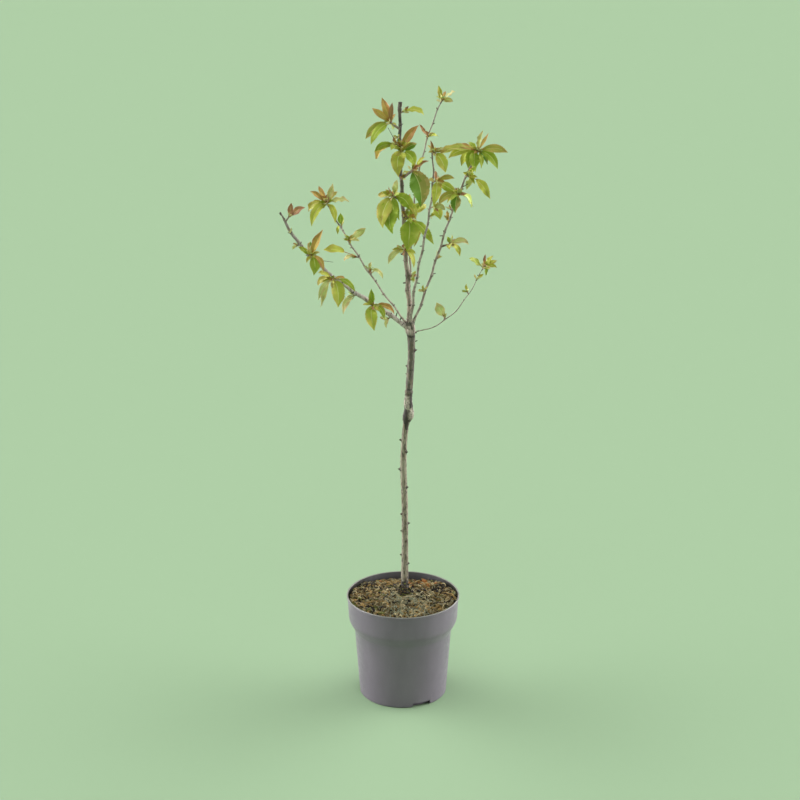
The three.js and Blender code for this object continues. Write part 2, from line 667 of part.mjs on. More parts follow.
function soilSolid() {
  const random = seeded(SOIL_SIDES);
  const edge = potBore(SOIL_EDGE_HEIGHT) - GAP;
  const narrow = potBore(SHOULDER_HEIGHT) - GAP;
  const stepped = SHOULDER_RADIUS - POT_WALL - GAP - SOIL_EASE;
  const heap = (radius) => {
    const fall = ((radius - SOIL_LEVEL_RADIUS) / (edge - SOIL_LEVEL_RADIUS)) ** SOIL_FALL;
    return between([SOIL_HEAP_HEIGHT, SOIL_EDGE_HEIGHT], fall);
  };
  const profile = [
    [0, POT_WALL + GAP],
    [SOIL_FLOOR_RADIUS, POT_WALL + GAP],
    [potBore(CORNER_FILL) - GAP - SOIL_EASE / 2, CORNER_FILL],
    [narrow - SOIL_EASE / 2, SHOULDER_HEIGHT],
    [stepped + SHOULDER_STEP, SHOULDER_HEIGHT + SHOULDER_RISE + 1],
    [BAND_FOOT_RADIUS - BAND_TUCK - POT_WALL - GAP - SOIL_EASE, BAND_FOOT_HEIGHT - BAND_TUCK_DEPTH + 1],
    [BAND_FOOT_RADIUS - POT_WALL - GAP - SOIL_EASE / 2, BAND_FOOT_HEIGHT],
    [edge - SOIL_EASE / 2, SOIL_EDGE_HEIGHT],
    ...SOIL_RINGS.map((share) => [share * edge, heap(share * edge)]),
    [SOIL_LEVEL_RADIUS, SOIL_HEAP_HEIGHT],
    [0, SOIL_HEAP_HEIGHT],
  ].map(([radius, height]) => new THREE.Vector2(radius, height));
  const form = new THREE.LatheGeometry(profile, SOIL_SIDES).rotateX(Math.PI / 2);
  const position = form.getAttribute("position");
  const lumps = new Map();
  for (let i = 0; i < position.count; i += 1) {
    const [x, y, z] = [position.getX(i), position.getY(i), position.getZ(i)];
    const radius = Math.hypot(x, y);
    if (z < SOIL_EDGE_HEIGHT + 1 || radius < SOIL_LEVEL_RADIUS + 1) continue;
    const place = `${Math.round(x)},${Math.round(y)}`;
    if (!lumps.has(place)) lumps.set(place, (random() - 0.5) * 2 * SOIL_ROUGHNESS);
    position.setZ(i, z + lumps.get(place));
  }
  return solidOf(form);
}

// The whole plant

const plant = new THREE.Group();

function addNode(name, solid, material) {
  const mesh = new THREE.Mesh(geometryOf(solid), material);
  mesh.name = name;
  plant.add(mesh);
}

addNode("pot", potSolid(), plastic);
addNode("soil", soilSolid(), mix);

const limbs = {};
const wood = limbSamples(stem);
const limbSpaces = [limbSolid(stem, STEM_SIDES, STEM_STEPS, GAP)];
addNode("trunk", limbSolid(stem, STEM_SIDES, STEM_STEPS), bark);
for (const [name, sizes] of Object.entries(BOUGHS)) {
  const limb = boughLimb(sizes);
  const steps = Math.round(limb.length / BOUGH_STEP);
  const whole = limbSolid(limb, BOUGH_SIDES, steps);
  addNode(`${name}_bough`, clearOf(whole, limbSpaces), bark);
  limbSpaces.push(limbSolid(limb, BOUGH_SIDES, steps, GAP));
  wood.push(...limbSamples(limb));
  limbs[name] = limb;
}

const masses = [];
SPURS.forEach((spur, index) => {
  const count = SPURS.slice(0, index + 1).filter(({ on }) => on === spur.on).length;
  const mass = spurMass(spur, limbs[spur.on], index + 1, limbSpaces, masses, wood);
  masses.push(mass);
  addNode(`${spur.on}_leaves_${count}`, mass, foliage);
});

export default plant;
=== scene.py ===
"""A young yellow cherry tree in its plastic nursery pot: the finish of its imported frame.

The pot, the potting mix, the wood and the foliage are a class each. The wood and the foliage grow by the same
rule as the frame's solids, in millimetres, and are carried on to finer things: bark with its relief, buds,
spur twigs, stalks, toothed blades and young leaves. Meshes are made in metres.
"""

import logging
import math
from dataclasses import dataclass
from enum import Enum
from typing import Callable, Iterable, Sequence, TypeVar

import bmesh
import bpy
import numpy as np
from mathutils import Matrix, Vector, noise


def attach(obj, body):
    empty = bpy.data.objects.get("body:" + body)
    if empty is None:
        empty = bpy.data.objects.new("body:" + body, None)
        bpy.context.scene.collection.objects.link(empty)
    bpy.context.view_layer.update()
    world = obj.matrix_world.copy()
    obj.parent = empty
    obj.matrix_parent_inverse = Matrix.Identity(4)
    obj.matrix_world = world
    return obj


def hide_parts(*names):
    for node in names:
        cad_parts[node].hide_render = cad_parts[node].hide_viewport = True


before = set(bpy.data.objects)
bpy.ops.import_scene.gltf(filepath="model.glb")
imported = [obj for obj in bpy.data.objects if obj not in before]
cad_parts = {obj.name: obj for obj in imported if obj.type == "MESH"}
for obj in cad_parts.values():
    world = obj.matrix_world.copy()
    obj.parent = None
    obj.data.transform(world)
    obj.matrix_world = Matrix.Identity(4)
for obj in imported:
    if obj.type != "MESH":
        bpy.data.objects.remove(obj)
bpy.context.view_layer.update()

MM = 0.001  # a millimetre, in metres
BODY = "root"

log = logging.getLogger("cherry_tree")

Point = np.ndarray
Faces = list[tuple[int, ...]]
Pair = tuple[float, float]
Triple = tuple[float, float, float]
Piece = bpy.types.Object
Socket = bpy.types.NodeSocket
Material = bpy.types.Material
Choice = TypeVar("Choice")


# Numbers and curves


def point(x: float, y: float, z: float) -> Point:
    """A point or a direction in millimetres."""
    return np.array([x, y, z], float)


DEPTH = point(0, 1, 0)
UPWARD = point(0, 0, 1)
TOWARD_VIEWER = point(0, -1, 0.3)  # to a viewer in front of the crown, who looks down on it by 17 degrees


def unit(way: Point) -> Point:
    """The direction of `way`, one unit long."""
    return way / (np.linalg.norm(way) or 1.0)


def between(first: float, last: float, share: float) -> float:
    """The value a share of the way from the first to the last."""
    return first + (last - first) * share


def smooth_step(share: float) -> float:
    """Eases a share from 0 to 1 with level ends."""
    held = min(max(share, 0.0), 1.0)
    return held * held * (3 - 2 * held)


def hump(distance: float, width: float) -> float:
    """1 at no distance, and falling off smoothly over `width`."""
    return math.exp(-((distance / width) ** 2))


def frame_along(tangent: Point, wanted: Point) -> tuple[Point, Point]:
    """The directions across and over a line.

    Args:
        tangent: the line's heading.
        wanted: what `over` is to be as near to as it can.

    Returns:
        The direction across, and the one over.
    """
    across = unit(np.cross(tangent, wanted))
    return across, np.cross(across, tangent)


def on_bearing(bearing: float, distance: float) -> Point:
    """A step in the crown's front plane, along a bearing in degrees from the right."""
    turn = math.radians(bearing)
    return point(math.cos(turn), 0, math.sin(turn)) * distance


def around(radius: float, turn: float) -> Pair:
    """How far right and back a place is, by its radius and its turn from the right."""
    return radius * math.cos(turn), radius * math.sin(turn)


class Dice:
    """Numbers from 0 to 1 that are the same on every run."""

    PRIME = 2147483647
    STEP = 16807
    SPREAD = 7919

    def __init__(self, seed: int) -> None:
        """Starts the run of numbers that belongs to a seed."""
        self.state = (seed * self.SPREAD) % self.PRIME

    def roll(self) -> float:
        """The next number."""
        self.state = (self.state * self.STEP) % self.PRIME
        return self.state / self.PRIME

    def stray(self) -> Point:
        """A small random vector, up to half a unit each way."""
        return point(self.roll() - 0.5, self.roll() - 0.5, self.roll() - 0.5)

    def pick(self, low: float, high: float) -> float:
        """A value between two others."""
        return between(low, high, self.roll())

    def one_of(self, choices: Sequence[Choice]) -> Choice:
        """One of some choices, all as likely."""
        return choices[int(self.roll() * len(choices))]


class Curve:
    """A line through space, from share 0 to share 1."""

    NEAR = 0.0001
    CHORDS = 200

    def at(self, share: float) -> Point:
        """The point at a share of the line."""
        raise NotImplementedError

    def heading(self, share: float) -> Point:
        """The line's direction at a share, one unit long."""
        low, high = max(share - self.NEAR, 0.0), min(share + self.NEAR, 1.0)
        return unit(self.at(high) - self.at(low))

    def length(self) -> float:
        """The line's length, as the sum of its chords."""
        marks = [self.at(step / self.CHORDS) for step in range(self.CHORDS + 1)]
        return sum(float(np.linalg.norm(b - a)) for a, b in zip(marks, marks[1:]))


@dataclass
class Bezier(Curve):
    """A curve led by three or four points."""

    points: list[Point]

    def at(self, share: float) -> Point:
        """The point at a share, by repeated lerps.

        Args:
            share: how far along it is.

        Returns:
            The point.
        """
        row = self.points
        while len(row) > 1:
            row = [a + (b - a) * share for a, b in zip(row, row[1:])]
        return row[0]


@dataclass
class Through(Curve):
    """A smooth curve through points, with the centripetal spacing that keeps it from swinging wide."""

    points: list[Point]

    def at(self, share: float) -> Point:
        """The point at a share, where every stretch between two points has an equal share.

        Args:
            share: how far along it is, from 0 to 1.

        Returns:
            The point.
        """
        marks, last = self.points, len(self.points) - 1
        place = last * share
        index = min(int(place), last - 1)
        part = place - index
        ahead = marks[index + 2] if index + 2 <= last else 2 * marks[last] - marks[last - 1]
        behind = marks[index - 1] if index > 0 else 2 * marks[0] - marks[1]
        four = [behind, marks[index], marks[index + 1], ahead]
        steps = [b - a for a, b in zip(four, four[1:])]
        gaps = [float(np.linalg.norm(step)) ** 0.5 for step in steps]
        slopes = []
        for i in (0, 1):
            over_both = (four[i + 2] - four[i]) / (gaps[i] + gaps[i + 1])
            slopes.append((steps[i] / gaps[i] - over_both + steps[i + 1] / gaps[i + 1]) * gaps[1])
        start, end = slopes
        square = -3 * four[1] + 3 * four[2] - 2 * start - end
        cube = 2 * four[1] - 2 * four[2] + start + end
        return four[1] + start * part + square * part**2 + cube * part**3


# Meshes


def deselect() -> None:
    """Leaves object mode as it is, with nothing selected."""
    bpy.ops.object.select_all(action="DESELECT")


def choose(piece: Piece) -> None:
    """Makes one piece the only one selected, and active.

    Args:
        piece: the piece.
    """
    deselect()
    piece.select_set(True)
    bpy.context.view_layer.objects.active = piece


def select_points(piece: Piece, wanted: Callable[[Vector], bool]) -> None:
    """Selects, in edit mode, some vertices with the edges and faces between them.

    Args:
        piece: the piece.
        wanted: whether a vertex is one of them, by its place.
    """
    bpy.ops.mesh.select_all(action="DESELECT")
    shape = bmesh.from_edit_mesh(piece.data)
    for vertex in shape.verts:
        vertex.select_set(wanted(vertex.co))
    shape.select_flush(True)
    bmesh.update_edit_mesh(piece.data)


def settle(piece: Piece) -> None:
    """Puts a piece's place, turn and size into its mesh."""
    choose(piece)
    bpy.ops.object.transform_apply(location=True, rotation=True, scale=True)


def shade(piece: Piece, sharp_deg: float = 40) -> None:
    """Smooths a piece's shading.

    Args:
        piece: the piece.
        sharp_deg: edges sharper than this stay sharp.
    """
    choose(piece)
    bpy.ops.object.shade_smooth_by_angle(angle=math.radians(sharp_deg))
    deselect()


def modify(piece: Piece, kind: str, **settings: object) -> None:
    """Adds a modifier to a piece and applies it.

    Args:
        piece: the piece.
        kind: the modifier's type.
        settings: the modifier's own properties.
    """
    choose(piece)
    modifier = piece.modifiers.new(kind.lower(), kind)
    for name, value in settings.items():
        setattr(modifier, name, value)
    bpy.ops.object.modifier_apply(modifier=modifier.name)


@dataclass
class Form:
    """A small shape that is copied many times: its points and its faces."""

    points: np.ndarray
    faces: Faces

    @classmethod
    def modelled(cls, model: Callable[[], Piece]) -> "Form":
        """Takes the shape of an object that some operators model, and removes the object.

        Args:
            model: makes the object, one unit in size.

        Returns:
            The shape.
        """
        deselect()
        made = model()
        settle(made)
        points = np.array([vertex.co[:] for vertex in made.data.vertices], float)
        faces = [tuple(face.vertices) for face in made.data.polygons]
        bpy.data.objects.remove(made)
        return cls(points, faces)


class Gathering:
    """Many small shapes gathered into one mesh, in millimetres."""

    def __init__(self) -> None:
        """Starts with nothing gathered."""
        self.points: list[np.ndarray] = []
        self.faces: Faces = []
        self.slots: list[int] = []
        self.marks: list[np.ndarray] = []
        self.count = 0

    def add(
        self,
        points: np.ndarray,
        faces: Iterable[Sequence[int]],
        slots: int | Sequence[int] = 0,
        marks: np.ndarray | None = None,
    ) -> None:
        """Adds one shape.

        Args:
            points: its points, a row each.
            faces: its faces, by the numbers of their points.
            slots: the material slot of the shape, or one for each of its faces.
            marks: where each point is on the shape, as two numbers for a UV map.
        """
        first = self.count
        before = len(self.faces)
        self.faces.extend(tuple(first + corner for corner in face) for face in faces)
        added = len(self.faces) - before
        self.slots.extend([slots] * added if isinstance(slots, int) else slots)
        self.points.append(points)
        self.marks.append(np.zeros((len(points), 2)) if marks is None else marks)
        self.count += len(points)

    def copy(self, form: Form, place: Point, turn: Matrix, size: Sequence[float], slot: int = 0) -> None:
        """Adds a copy of a form, sized along its own axes, turned and put in place."""
        turned = (form.points * np.array(size)) @ np.array(turn.to_3x3()).T
        self.add(turned + place, form.faces, slot)

    def piece(self, name: str, materials: Sequence[Material], sharp_deg: float = 40) -> Piece:
        """The one mesh of all that was gathered, in metres.

        Args:
            name: the piece's name.
            materials: its materials, in the order of the slots.
            sharp_deg: edges sharper than this stay sharp.

        Returns:
            The object.
        """
        mesh = bpy.data.meshes.new(name)
        points = np.concatenate(self.points)
        mesh.from_pydata((points * MM).tolist(), [], self.faces)
        for material in materials:
            mesh.materials.append(material)
        mesh.polygons.foreach_set("material_index", self.slots)
        marks = np.concatenate(self.marks)
        if marks.any():
            corners = np.zeros(len(mesh.loops), int)
            mesh.loops.foreach_get("vertex_index", corners)
            layer = mesh.uv_layers.new(name="blade")
            layer.data.foreach_set("uv", marks[corners].ravel())
        mesh.update()
        piece = bpy.data.objects.new(name, mesh)
        bpy.context.scene.collection.objects.link(piece)
        shade(piece, sharp_deg)
        return piece


def tube(
    centres: Sequence[Point],
    acrosses: Sequence[Point],
    overs: Sequence[Point],
    radii: Sequence[float],
    sides: int,
) -> tuple[np.ndarray, Faces]:
    """A closed tube along a line.

    Args:
        centres: the middle of each ring.
        acrosses: the direction in which each ring starts.
        overs: the direction a quarter turn further on.
        radii: the radius of each ring.
        sides: how many sides the tube has.

    Returns:
        Its points, ring by ring, and its faces, which point outwards.
    """
    turns = np.arange(sides) * 2 * math.pi / sides
    ahead, aside = np.cos(turns)[:, None, None], np.sin(turns)[:, None, None]
    spokes = ahead * np.array(acrosses) + aside * np.array(overs)
    rings = np.array(centres)[None] + spokes * np.array(radii)[None, :, None]
    points = rings.transpose(1, 0, 2).reshape(-1, 3)
    faces: Faces = []
    for ring in range(len(centres) - 1):
        for side in range(sides):
            a, b = ring * sides + side, ring * sides + (side + 1) % sides
            faces.append((a, a + sides, b + sides, b))
    faces.append(tuple(range(sides)))
    last = (len(centres) - 1) * sides
    faces.append(tuple(last + side for side in reversed(range(sides))))
    return points, faces


# Materials

SRGB_KNEE = 0.04045
MIDDLE = {"From Min": 0.3, "From Max": 0.7}  # where most of a noise's values lie


def linear(colour: str) -> tuple[float, float, float, float]:
    """An sRGB hex colour as a linear one.

    Args:
        colour: six hex digits after a hash.

    Returns:
        Red, green, blue and a full alpha.
    """
    shares = [int(colour[i : i + 2], 16) / 255 for i in (1, 3, 5)]
    red, green, blue = (s / 12.92 if s <= SRGB_KNEE else ((s + 0.055) / 1.055) ** 2.4 for s in shares)
    return red, green, blue, 1.0


def blended(first: str, second: str, share: float) -> str:
    """The hex colour a share of the way from the first to the second."""
    pairs = [(int(first[i : i + 2], 16), int(second[i : i + 2], 16)) for i in (1, 3, 5)]
    return "#" + "".join(f"{round(a + (b - a) * share):02x}" for a, b in pairs)


def per_metre(size_mm: float) -> float:
    """How often a pattern of a real size repeats in a metre."""
    return 1 / (size_mm * MM)


class Nodes:
    """The node tree of a material or of the world."""

    def __init__(self, owner: Material | bpy.types.World) -> None:
        """Starts an empty tree.

        Args:
            owner: what the tree belongs to.
        """
        owner.use_nodes = True
        self.owner = owner
        self.tree = owner.node_tree
        self.tree.nodes.clear()

    def add(
        self, kind: str, links: dict | None = None, out: int | str = 0, **settings: object
    ) -> Socket | None:
        """Adds a node.

        Args:
            kind: the node's type, without the words that every type starts with.
            links: for each input, by name or number, an output to link or a plain value.
            out: the output that is wanted.
            settings: the node's own properties.

        Returns:
            The output, or None for a node without one.
        """
        node = self.tree.nodes.new(f"ShaderNode{kind}")
        for name, value in settings.items():
            setattr(node, name, value)
        for place, value in (links or {}).items():
            if isinstance(value, Socket):
                self.tree.links.new(value, node.inputs[place])
            else:
                node.inputs[place].default_value = value
        return node.outputs[out] if node.outputs else None

    def laid_over(self, body: object, share: Socket, stretch: Sequence[float], colour: object) -> Socket:
        """Lays a colour over what is there.

        Args:
            body: the colour that is there, plain or an output.
            share: the output that says where the other one shows.
            stretch: where it starts to show, where it shows most, and how much that is.
            colour: the other colour, plain or an output.

        Returns:
            The colour of both.
        """
        low, high, most = stretch
        held = self.add("MapRange", {"Value": share, "From Min": low, "From Max": high, "To Max": most})
        return self.add("Mix", {0: held, 6: body, 7: colour}, out=2, data_type="RGBA")

    def finished(self, links: dict) -> Material:
        """Ends the tree with a Principled shader, and returns the material."""
        self.add("OutputMaterial", {"Surface": self.add("BsdfPrincipled", links)})
        return self.owner


@dataclass(frozen=True)
class MouldedPolypropylene:
    """Recycled grey polypropylene, injection moulded: a satin skin with faint flow clouds and scuffs."""

    name: str = "moulded_polypropylene"
    # The greys are tinted purple as a painted counter to the green light that the paper bounces onto the pot
    colour: str = "#6e6771"
    cloud: str = "#766f79"
    scuffed: str = "#867f89"
    gloss: Pair = (0.3, 0.44)
    refraction: float = 1.49
    soil: str = ""  # the near-black of the shade painted on the inner wall at the left and the right
    cloud_mm: float = 26
    scuff_mm: float = 3.2
    grain_mm: float = 1.1  # coarser than the mould's real grain, so that it shows
    grain_depth_mm: float = 0.035

    def material(self) -> Material:
        """The plastic's material.

        Returns:
            The material.
        """
        nodes = Nodes(bpy.data.materials.new(self.name))
        place = nodes.add("TexCoord", out="Object")
        tall = nodes.add("Mapping", {"Vector": place, "Scale": (1, 1, 0.4)})
        clouds = nodes.add("TexNoise", {"Vector": tall, "Scale": per_metre(self.cloud_mm), "Detail": 2})
        body = nodes.laid_over(linear(self.colour), clouds, (0.3, 0.72, 1), linear(self.cloud))
        marks = nodes.add("TexNoise", {"Vector": tall, "Scale": per_metre(self.scuff_mm), "Detail": 5})
        colour = nodes.laid_over(body, marks, (0.62, 0.8, 0.35), linear(self.scuffed))
        # Inside the pot, near-black shade is painted on the wall at the left and the right
        if self.soil:
            colour = self.painted_side_shade(nodes, place, colour)
        smears = nodes.add("TexNoise", {"Vector": place, "Scale": per_metre(self.cloud_mm / 3)})
        low, high = self.gloss
        gloss = nodes.add("MapRange", {"Value": smears, **MIDDLE, "To Min": low, "To Max": high})
        grain = nodes.add("TexNoise", {"Vector": place, "Scale": per_metre(self.grain_mm), "Detail": 1})
        relief = nodes.add("Bump", {"Height": grain, "Distance": self.grain_depth_mm * MM})
        skin = {"Base Color": colour, "Roughness": gloss, "Normal": relief, "IOR": self.refraction}
        return nodes.finished(skin)

    def painted_side_shade(self, nodes: Nodes, place: Socket, unshaded: Socket) -> Socket:
        """Lays painted shade over the inner wall's plastic at the left and the right, with a ragged edge.

        Args:
            nodes: the material's nodes.
            place: where on the pot a point is.
            unshaded: the plastic's colour without the painted shade.

        Returns:
            The colour of both.
        """
        spread_out = nodes.add("VectorMath", {0: place}, operation="ABSOLUTE")
        aside = nodes.add("SeparateXYZ", {"Vector": spread_out}, out="X")
        ragged = nodes.add("TexNoise", {"Vector": place, "Scale": per_metre(self.cloud_mm / 2), "Detail": 5})
        edge = nodes.add("MapRange", {"Value": ragged, "To Min": -0.02, "To Max": 0.02})
        reach = nodes.add("Math", {0: aside, 1: edge}, operation="ADD")
        return nodes.laid_over(unshaded, reach, (0.05, 0.085, 0.9), linear(self.soil))


@dataclass(frozen=True)
class Bark:
    """Thin young cherry bark: satin and scurfy between corky lenticels, changing colour along the wood."""

    name: str
    foot: str
    tip: str
    blotch: str
    pale: str
    blotch_mm: float = 7
    lenticel_mm: float = 1.5
    relief_mm: float = 0.3
    streaks: float = 0.6  # there are more dark ones the lower this is
    aged: float = 1.0  # how far along the wood its last colour starts
    stain_and_shade: str = "#35302a"
    callus: str = "#aaa592"
    pore: str = "#463e34"

    def material(self) -> Material:
        """The bark's material, which reads how far along the wood it is and where it is dark or healed.

        Returns:
            The material.
        """
        nodes = Nodes(bpy.data.materials.new(self.name))
        place = nodes.add("TexCoord", out="Object")
        pore = linear(self.pore)

        def cloud(size_mm: float, tall: float, detail: float) -> Socket:
            """Blotches of a real size that are drawn out along the wood."""
            drawn = nodes.add("Mapping", {"Vector": place, "Scale": (1, 1, 1 / tall)})
            return nodes.add("TexNoise", {"Vector": drawn, "Scale": per_metre(size_mm), "Detail": detail})

        along = nodes.add("Attribute", attribute_name="tipward", out="Fac")
        body = nodes.laid_over(linear(self.foot), along, (0, self.aged, 1), linear(self.tip))
        body = nodes.laid_over(body, cloud(self.blotch_mm, 1.8, 5), (0.48, 0.62, 0.8), linear(self.blotch))
        body = nodes.laid_over(body, cloud(2.6, 5, 4), (0.54, 0.7, 0.75), linear(self.pale))
        body = nodes.laid_over(body, cloud(3.1, 3, 5), (self.streaks, self.streaks + 0.07, 0.8), pore)
        ragged = cloud(3.4, 1.4, 4)
        rough = nodes.add("MapRange", {"Value": ragged, **MIDDLE, "To Min": -0.45, "To Max": 0.45})
        healed = nodes.add("Attribute", attribute_name="callus", out="Fac")
        healed = nodes.add("Math", {0: healed, 1: rough}, operation="ADD")
        mottled = nodes.laid_over(linear(self.callus), cloud(3.6, 1.2, 4), (0.47, 0.58, 0.75), pore)
        body = nodes.laid_over(body, healed, (0.35, 0.6, 0.9), mottled)
        # Dark: stains, scars, knots, cut ends and buds, and painted shade in the fork's crotch
        dark = nodes.add("Attribute", attribute_name="dark", out="Fac")
        dark = nodes.add("Math", {0: dark, 1: rough}, operation="ADD")
        body = nodes.laid_over(body, dark, (0.3, 0.62, 0.92), linear(self.stain_and_shade))
        corky = cloud(self.lenticel_mm, 0.4, 2)
        colour = nodes.laid_over(body, corky, (0.66, 0.73, 0.75), pore)
        fine = nodes.add("Bump", {"Height": cloud(0.9, 1.5, 4), "Distance": self.relief_mm * 0.6 * MM})
        relief = nodes.add("Bump", {"Height": corky, "Distance": self.relief_mm * MM, "Normal": fine})
        gloss = nodes.add("MapRange", {"Value": ragged, **MIDDLE, "To Min": 0.6, "To Max": 0.8})
        return nodes.finished({"Base Color": colour, "Roughness": gloss, "Normal": relief, "IOR": 1.45})


@dataclass(frozen=True)
class LeafBlade:
    """A young cherry leaf: a thin waxy blade, flushed with copper from its edges, and paler underneath."""

    heart: str
    edge: str
    under: str
    rib: str
    steps: int = 4
    vein_pairs: float = 8
    vein_slant: float = 1.6
    vein_depth_mm: float = 0.16
    cell_mm: float = 1.3
    cell_depth_mm: float = 0.06

    # The slots that come after the steps
    UNDERSIDE = 4
    FLUSHED_UNDERSIDE = 5
    RIB = 6

    def materials(self, name: str) -> list[Material]:
        """The blade's materials, each a plain colour.

        Args:
            name: what their names start with.

        Returns:
            The steps from heart to edge, the undersides and the rib.
        """
        made = []
        for step in range(self.steps):
            colour = blended(self.heart, self.edge, step / (self.steps - 1))
            made.append(self.waxy(f"{name}_blade_{step + 1}", colour))
        made.append(self.waxy(f"{name}_underside", self.under, 0.7))
        made.append(self.waxy(f"{name}_underside_flushed", blended(self.under, self.edge, 0.5), 0.7))
        made.append(self.waxy(f"{name}_rib", self.rib, 0.5))
        return made

    def waxy(self, name: str, colour: str, roughness: float = 0.58) -> Material:
        """One plain colour of the blade, with its side veins and cells raised on it.

        Args:
            name: the material's name.
            colour: its colour.
            roughness: about how rough it is.

        Returns:
            The material.
        """
        nodes = Nodes(bpy.data.materials.new(name))
        marks = nodes.add("UVMap", uv_map="blade")
        aside = nodes.add("SeparateXYZ", {"Vector": marks}, out="X")
        ahead = nodes.add("SeparateXYZ", {"Vector": marks}, out="Y")
        fall = nodes.add("Math", {0: aside, 1: self.vein_slant}, operation="MULTIPLY")
        rise = nodes.add("Math", {0: ahead, 1: self.vein_pairs}, operation="MULTIPLY")
        slant = nodes.add("Math", {0: rise, 1: fall}, operation="SUBTRACT")
        wave = nodes.add("Math", {0: slant, 1: 1.0}, operation="PINGPONG")
        vein = nodes.add("MapRange", {"Value": wave, "From Max": 0.35})
        place = nodes.add("TexCoord", out="Object")
        cells = nodes.add("TexNoise", {"Vector": place, "Scale": per_metre(self.cell_mm)})
        fine = nodes.add("Bump", {"Height": cells, "Distance": self.cell_depth_mm * MM})
        veins = nodes.add("Bump", {"Height": vein, "Distance": self.vein_depth_mm * MM, "Normal": fine})
        smears = nodes.add("TexNoise", {"Vector": place, "Scale": per_metre(self.cell_mm * 3)})
        shine = {"Value": smears, **MIDDLE, "To Min": roughness - 0.06, "To Max": roughness + 0.08}
        gloss = nodes.add("MapRange", shine)
        wax = {"Base Color": linear(colour), "Roughness": gloss, "Normal": veins, "IOR": 1.36}
        return nodes.finished(wax)


@dataclass(frozen=True)
class MattPlant:
    """Bark, cut wood, fibre, moss or a stalk: matt and finely rough all over, in one plain colour."""

    colour: str
    crumb_mm: float = 0.8
    depth_mm: float = 0.3

    def material(self, name: str) -> Material:
        """The material, a plain colour with a crumbly surface.

        Args:
            name: its name.

        Returns:
            The material.
        """
        nodes = Nodes(bpy.data.materials.new(name))
        place = nodes.add("TexCoord", out="Object")
        crumbs = nodes.add("TexNoise", {"Vector": place, "Scale": per_metre(self.crumb_mm), "Detail": 4})
        relief = nodes.add("Bump", {"Height": crumbs, "Distance": self.depth_mm * MM})
        matt = nodes.add("MapRange", {"Value": crumbs, "To Min": 0.75, "To Max": 0.98})
        skin = {"Base Color": linear(self.colour), "Roughness": matt, "Normal": relief, "IOR": 1.4}
        return nodes.finished(skin)


@dataclass(frozen=True)
class DampPeat:
    """The peat and bark dust under the scraps: nearly black, with brown clods."""

    name: str = "damp_peat"
    dust: str = "#1d1913"
    clod: str = "#4f4330"
    clod_mm: float = 5
    crumb_mm: float = 1.6
    depth_mm: float = 1.2

    def material(self) -> Material:
        """The peat's material.

        Returns:
            The material.
        """
        nodes = Nodes(bpy.data.materials.new(self.name))
        place = nodes.add("TexCoord", out="Object")
        clods = nodes.add("TexNoise", {"Vector": place, "Scale": per_metre(self.clod_mm), "Detail": 5})
        colour = nodes.laid_over(linear(self.dust), clods, (0.38, 0.7, 1), linear(self.clod))
        crumbs = nodes.add("TexNoise", {"Vector": place, "Scale": per_metre(self.crumb_mm), "Detail": 5})
        relief = nodes.add("Bump", {"Height": crumbs, "Distance": self.depth_mm * MM})
        return nodes.finished({"Base Color": colour, "Roughness": 0.93, "Normal": relief, "IOR": 1.4})


# The wood


@dataclass
class Limb:
    """A tapering limb: a course that turns a little at each bud, and a radius at any share of it."""

    curve: Curve
    thickness: Callable[[float], float]
    buds: int = 0
    slim: float = 1.0
    stout: float = 0.0  # how much thicker it is a little way out from the fork
    pointed: float = 0.0  # how much thinner it ends, or thicker where this is negative
    bud_kink: float = 0.9
    kink_fade: float = 0.3

    def course(self, share: float) -> Point:
        """The limb's middle at a share.

        Args:
            share: how far along it is, from 0 to 1.

        Returns:
            The point.
        """
        if not self.buds:
            return self.curve.at(share)
        kink = self.bud_kink * math.sin(math.pi * self.buds * share) * (1 - share * self.kink_fade)
        across, _ = frame_along(self.curve.heading(share), DEPTH)
        return self.curve.at(share) + across * kink

    def heading(self, share: float) -> Point:
        """The limb's direction at a share."""
        return self.curve.heading(share)

    def radius(self, share: float) -> float:
        """The limb's radius at a share."""
        ends = 1 + self.stout * hump(share - 0.2, 0.16) - self.pointed * smooth_step((share - 0.9) / 0.1)
        return self.thickness(share) * self.slim * ends

    def length(self) -> float:
        """The length of the limb's curve."""
        return self.curve.length()

    def past_bud(self, share: float) -> float:
        """How far past the nearest bud a share is, as a share."""
        return share - (math.floor(share * self.buds) + 0.5) / self.buds

    def samples(self, spacing: float) -> list[tuple[Point, float]]:
        """Points about `spacing` apart along the limb, each with the radius there."""
        count = math.floor(self.length() / spacing + 0.5)
        return [(self.course(step / count), self.radius(step / count)) for step in range(count + 1)]

    def even_shares(self, spacing: float, until: float = 1.0) -> list[float]:
        """Shares that lie evenly along the limb.

        Args:
            spacing: about how far apart they are.
            until: the last of them.

        Returns:
            The shares, from 0 on.
        """
        fine = np.linspace(0, until, 400)
        marks = np.array([self.curve.at(share) for share in fine])
        runs = np.concatenate([[0], np.cumsum(np.linalg.norm(np.diff(marks, axis=0), axis=1))])
        steps = max(2, round(runs[-1] / spacing))
        return list(np.interp(np.linspace(0, runs[-1], steps + 1), runs, fine))

    def swept(
        self, shares: Sequence[float], radii: Sequence[float], sides: int
    ) -> tuple[np.ndarray, Faces, list[Point]]:
        """A tube along the limb.

        Args:
            shares: where its rings are.
            radii: the radius of each ring.
            sides: how many sides it has.

        Returns:
            Its points, ring by ring, its faces, and the way out of the limb at each point.
        """
        centres = [self.course(share) for share in shares]
        acrosses, overs = zip(*(frame_along(self.heading(share), DEPTH) for share in shares))
        points, faces = tube(centres, acrosses, overs, radii, sides)
        outs = [unit(place - centres[index // sides]) for index, place in enumerate(points)]
        return points, faces, outs


@dataclass(frozen=True)
class Station:
    """A height on the stem, how far right it leans there, and its radius."""

    height: float
    lean: float
    radius: float


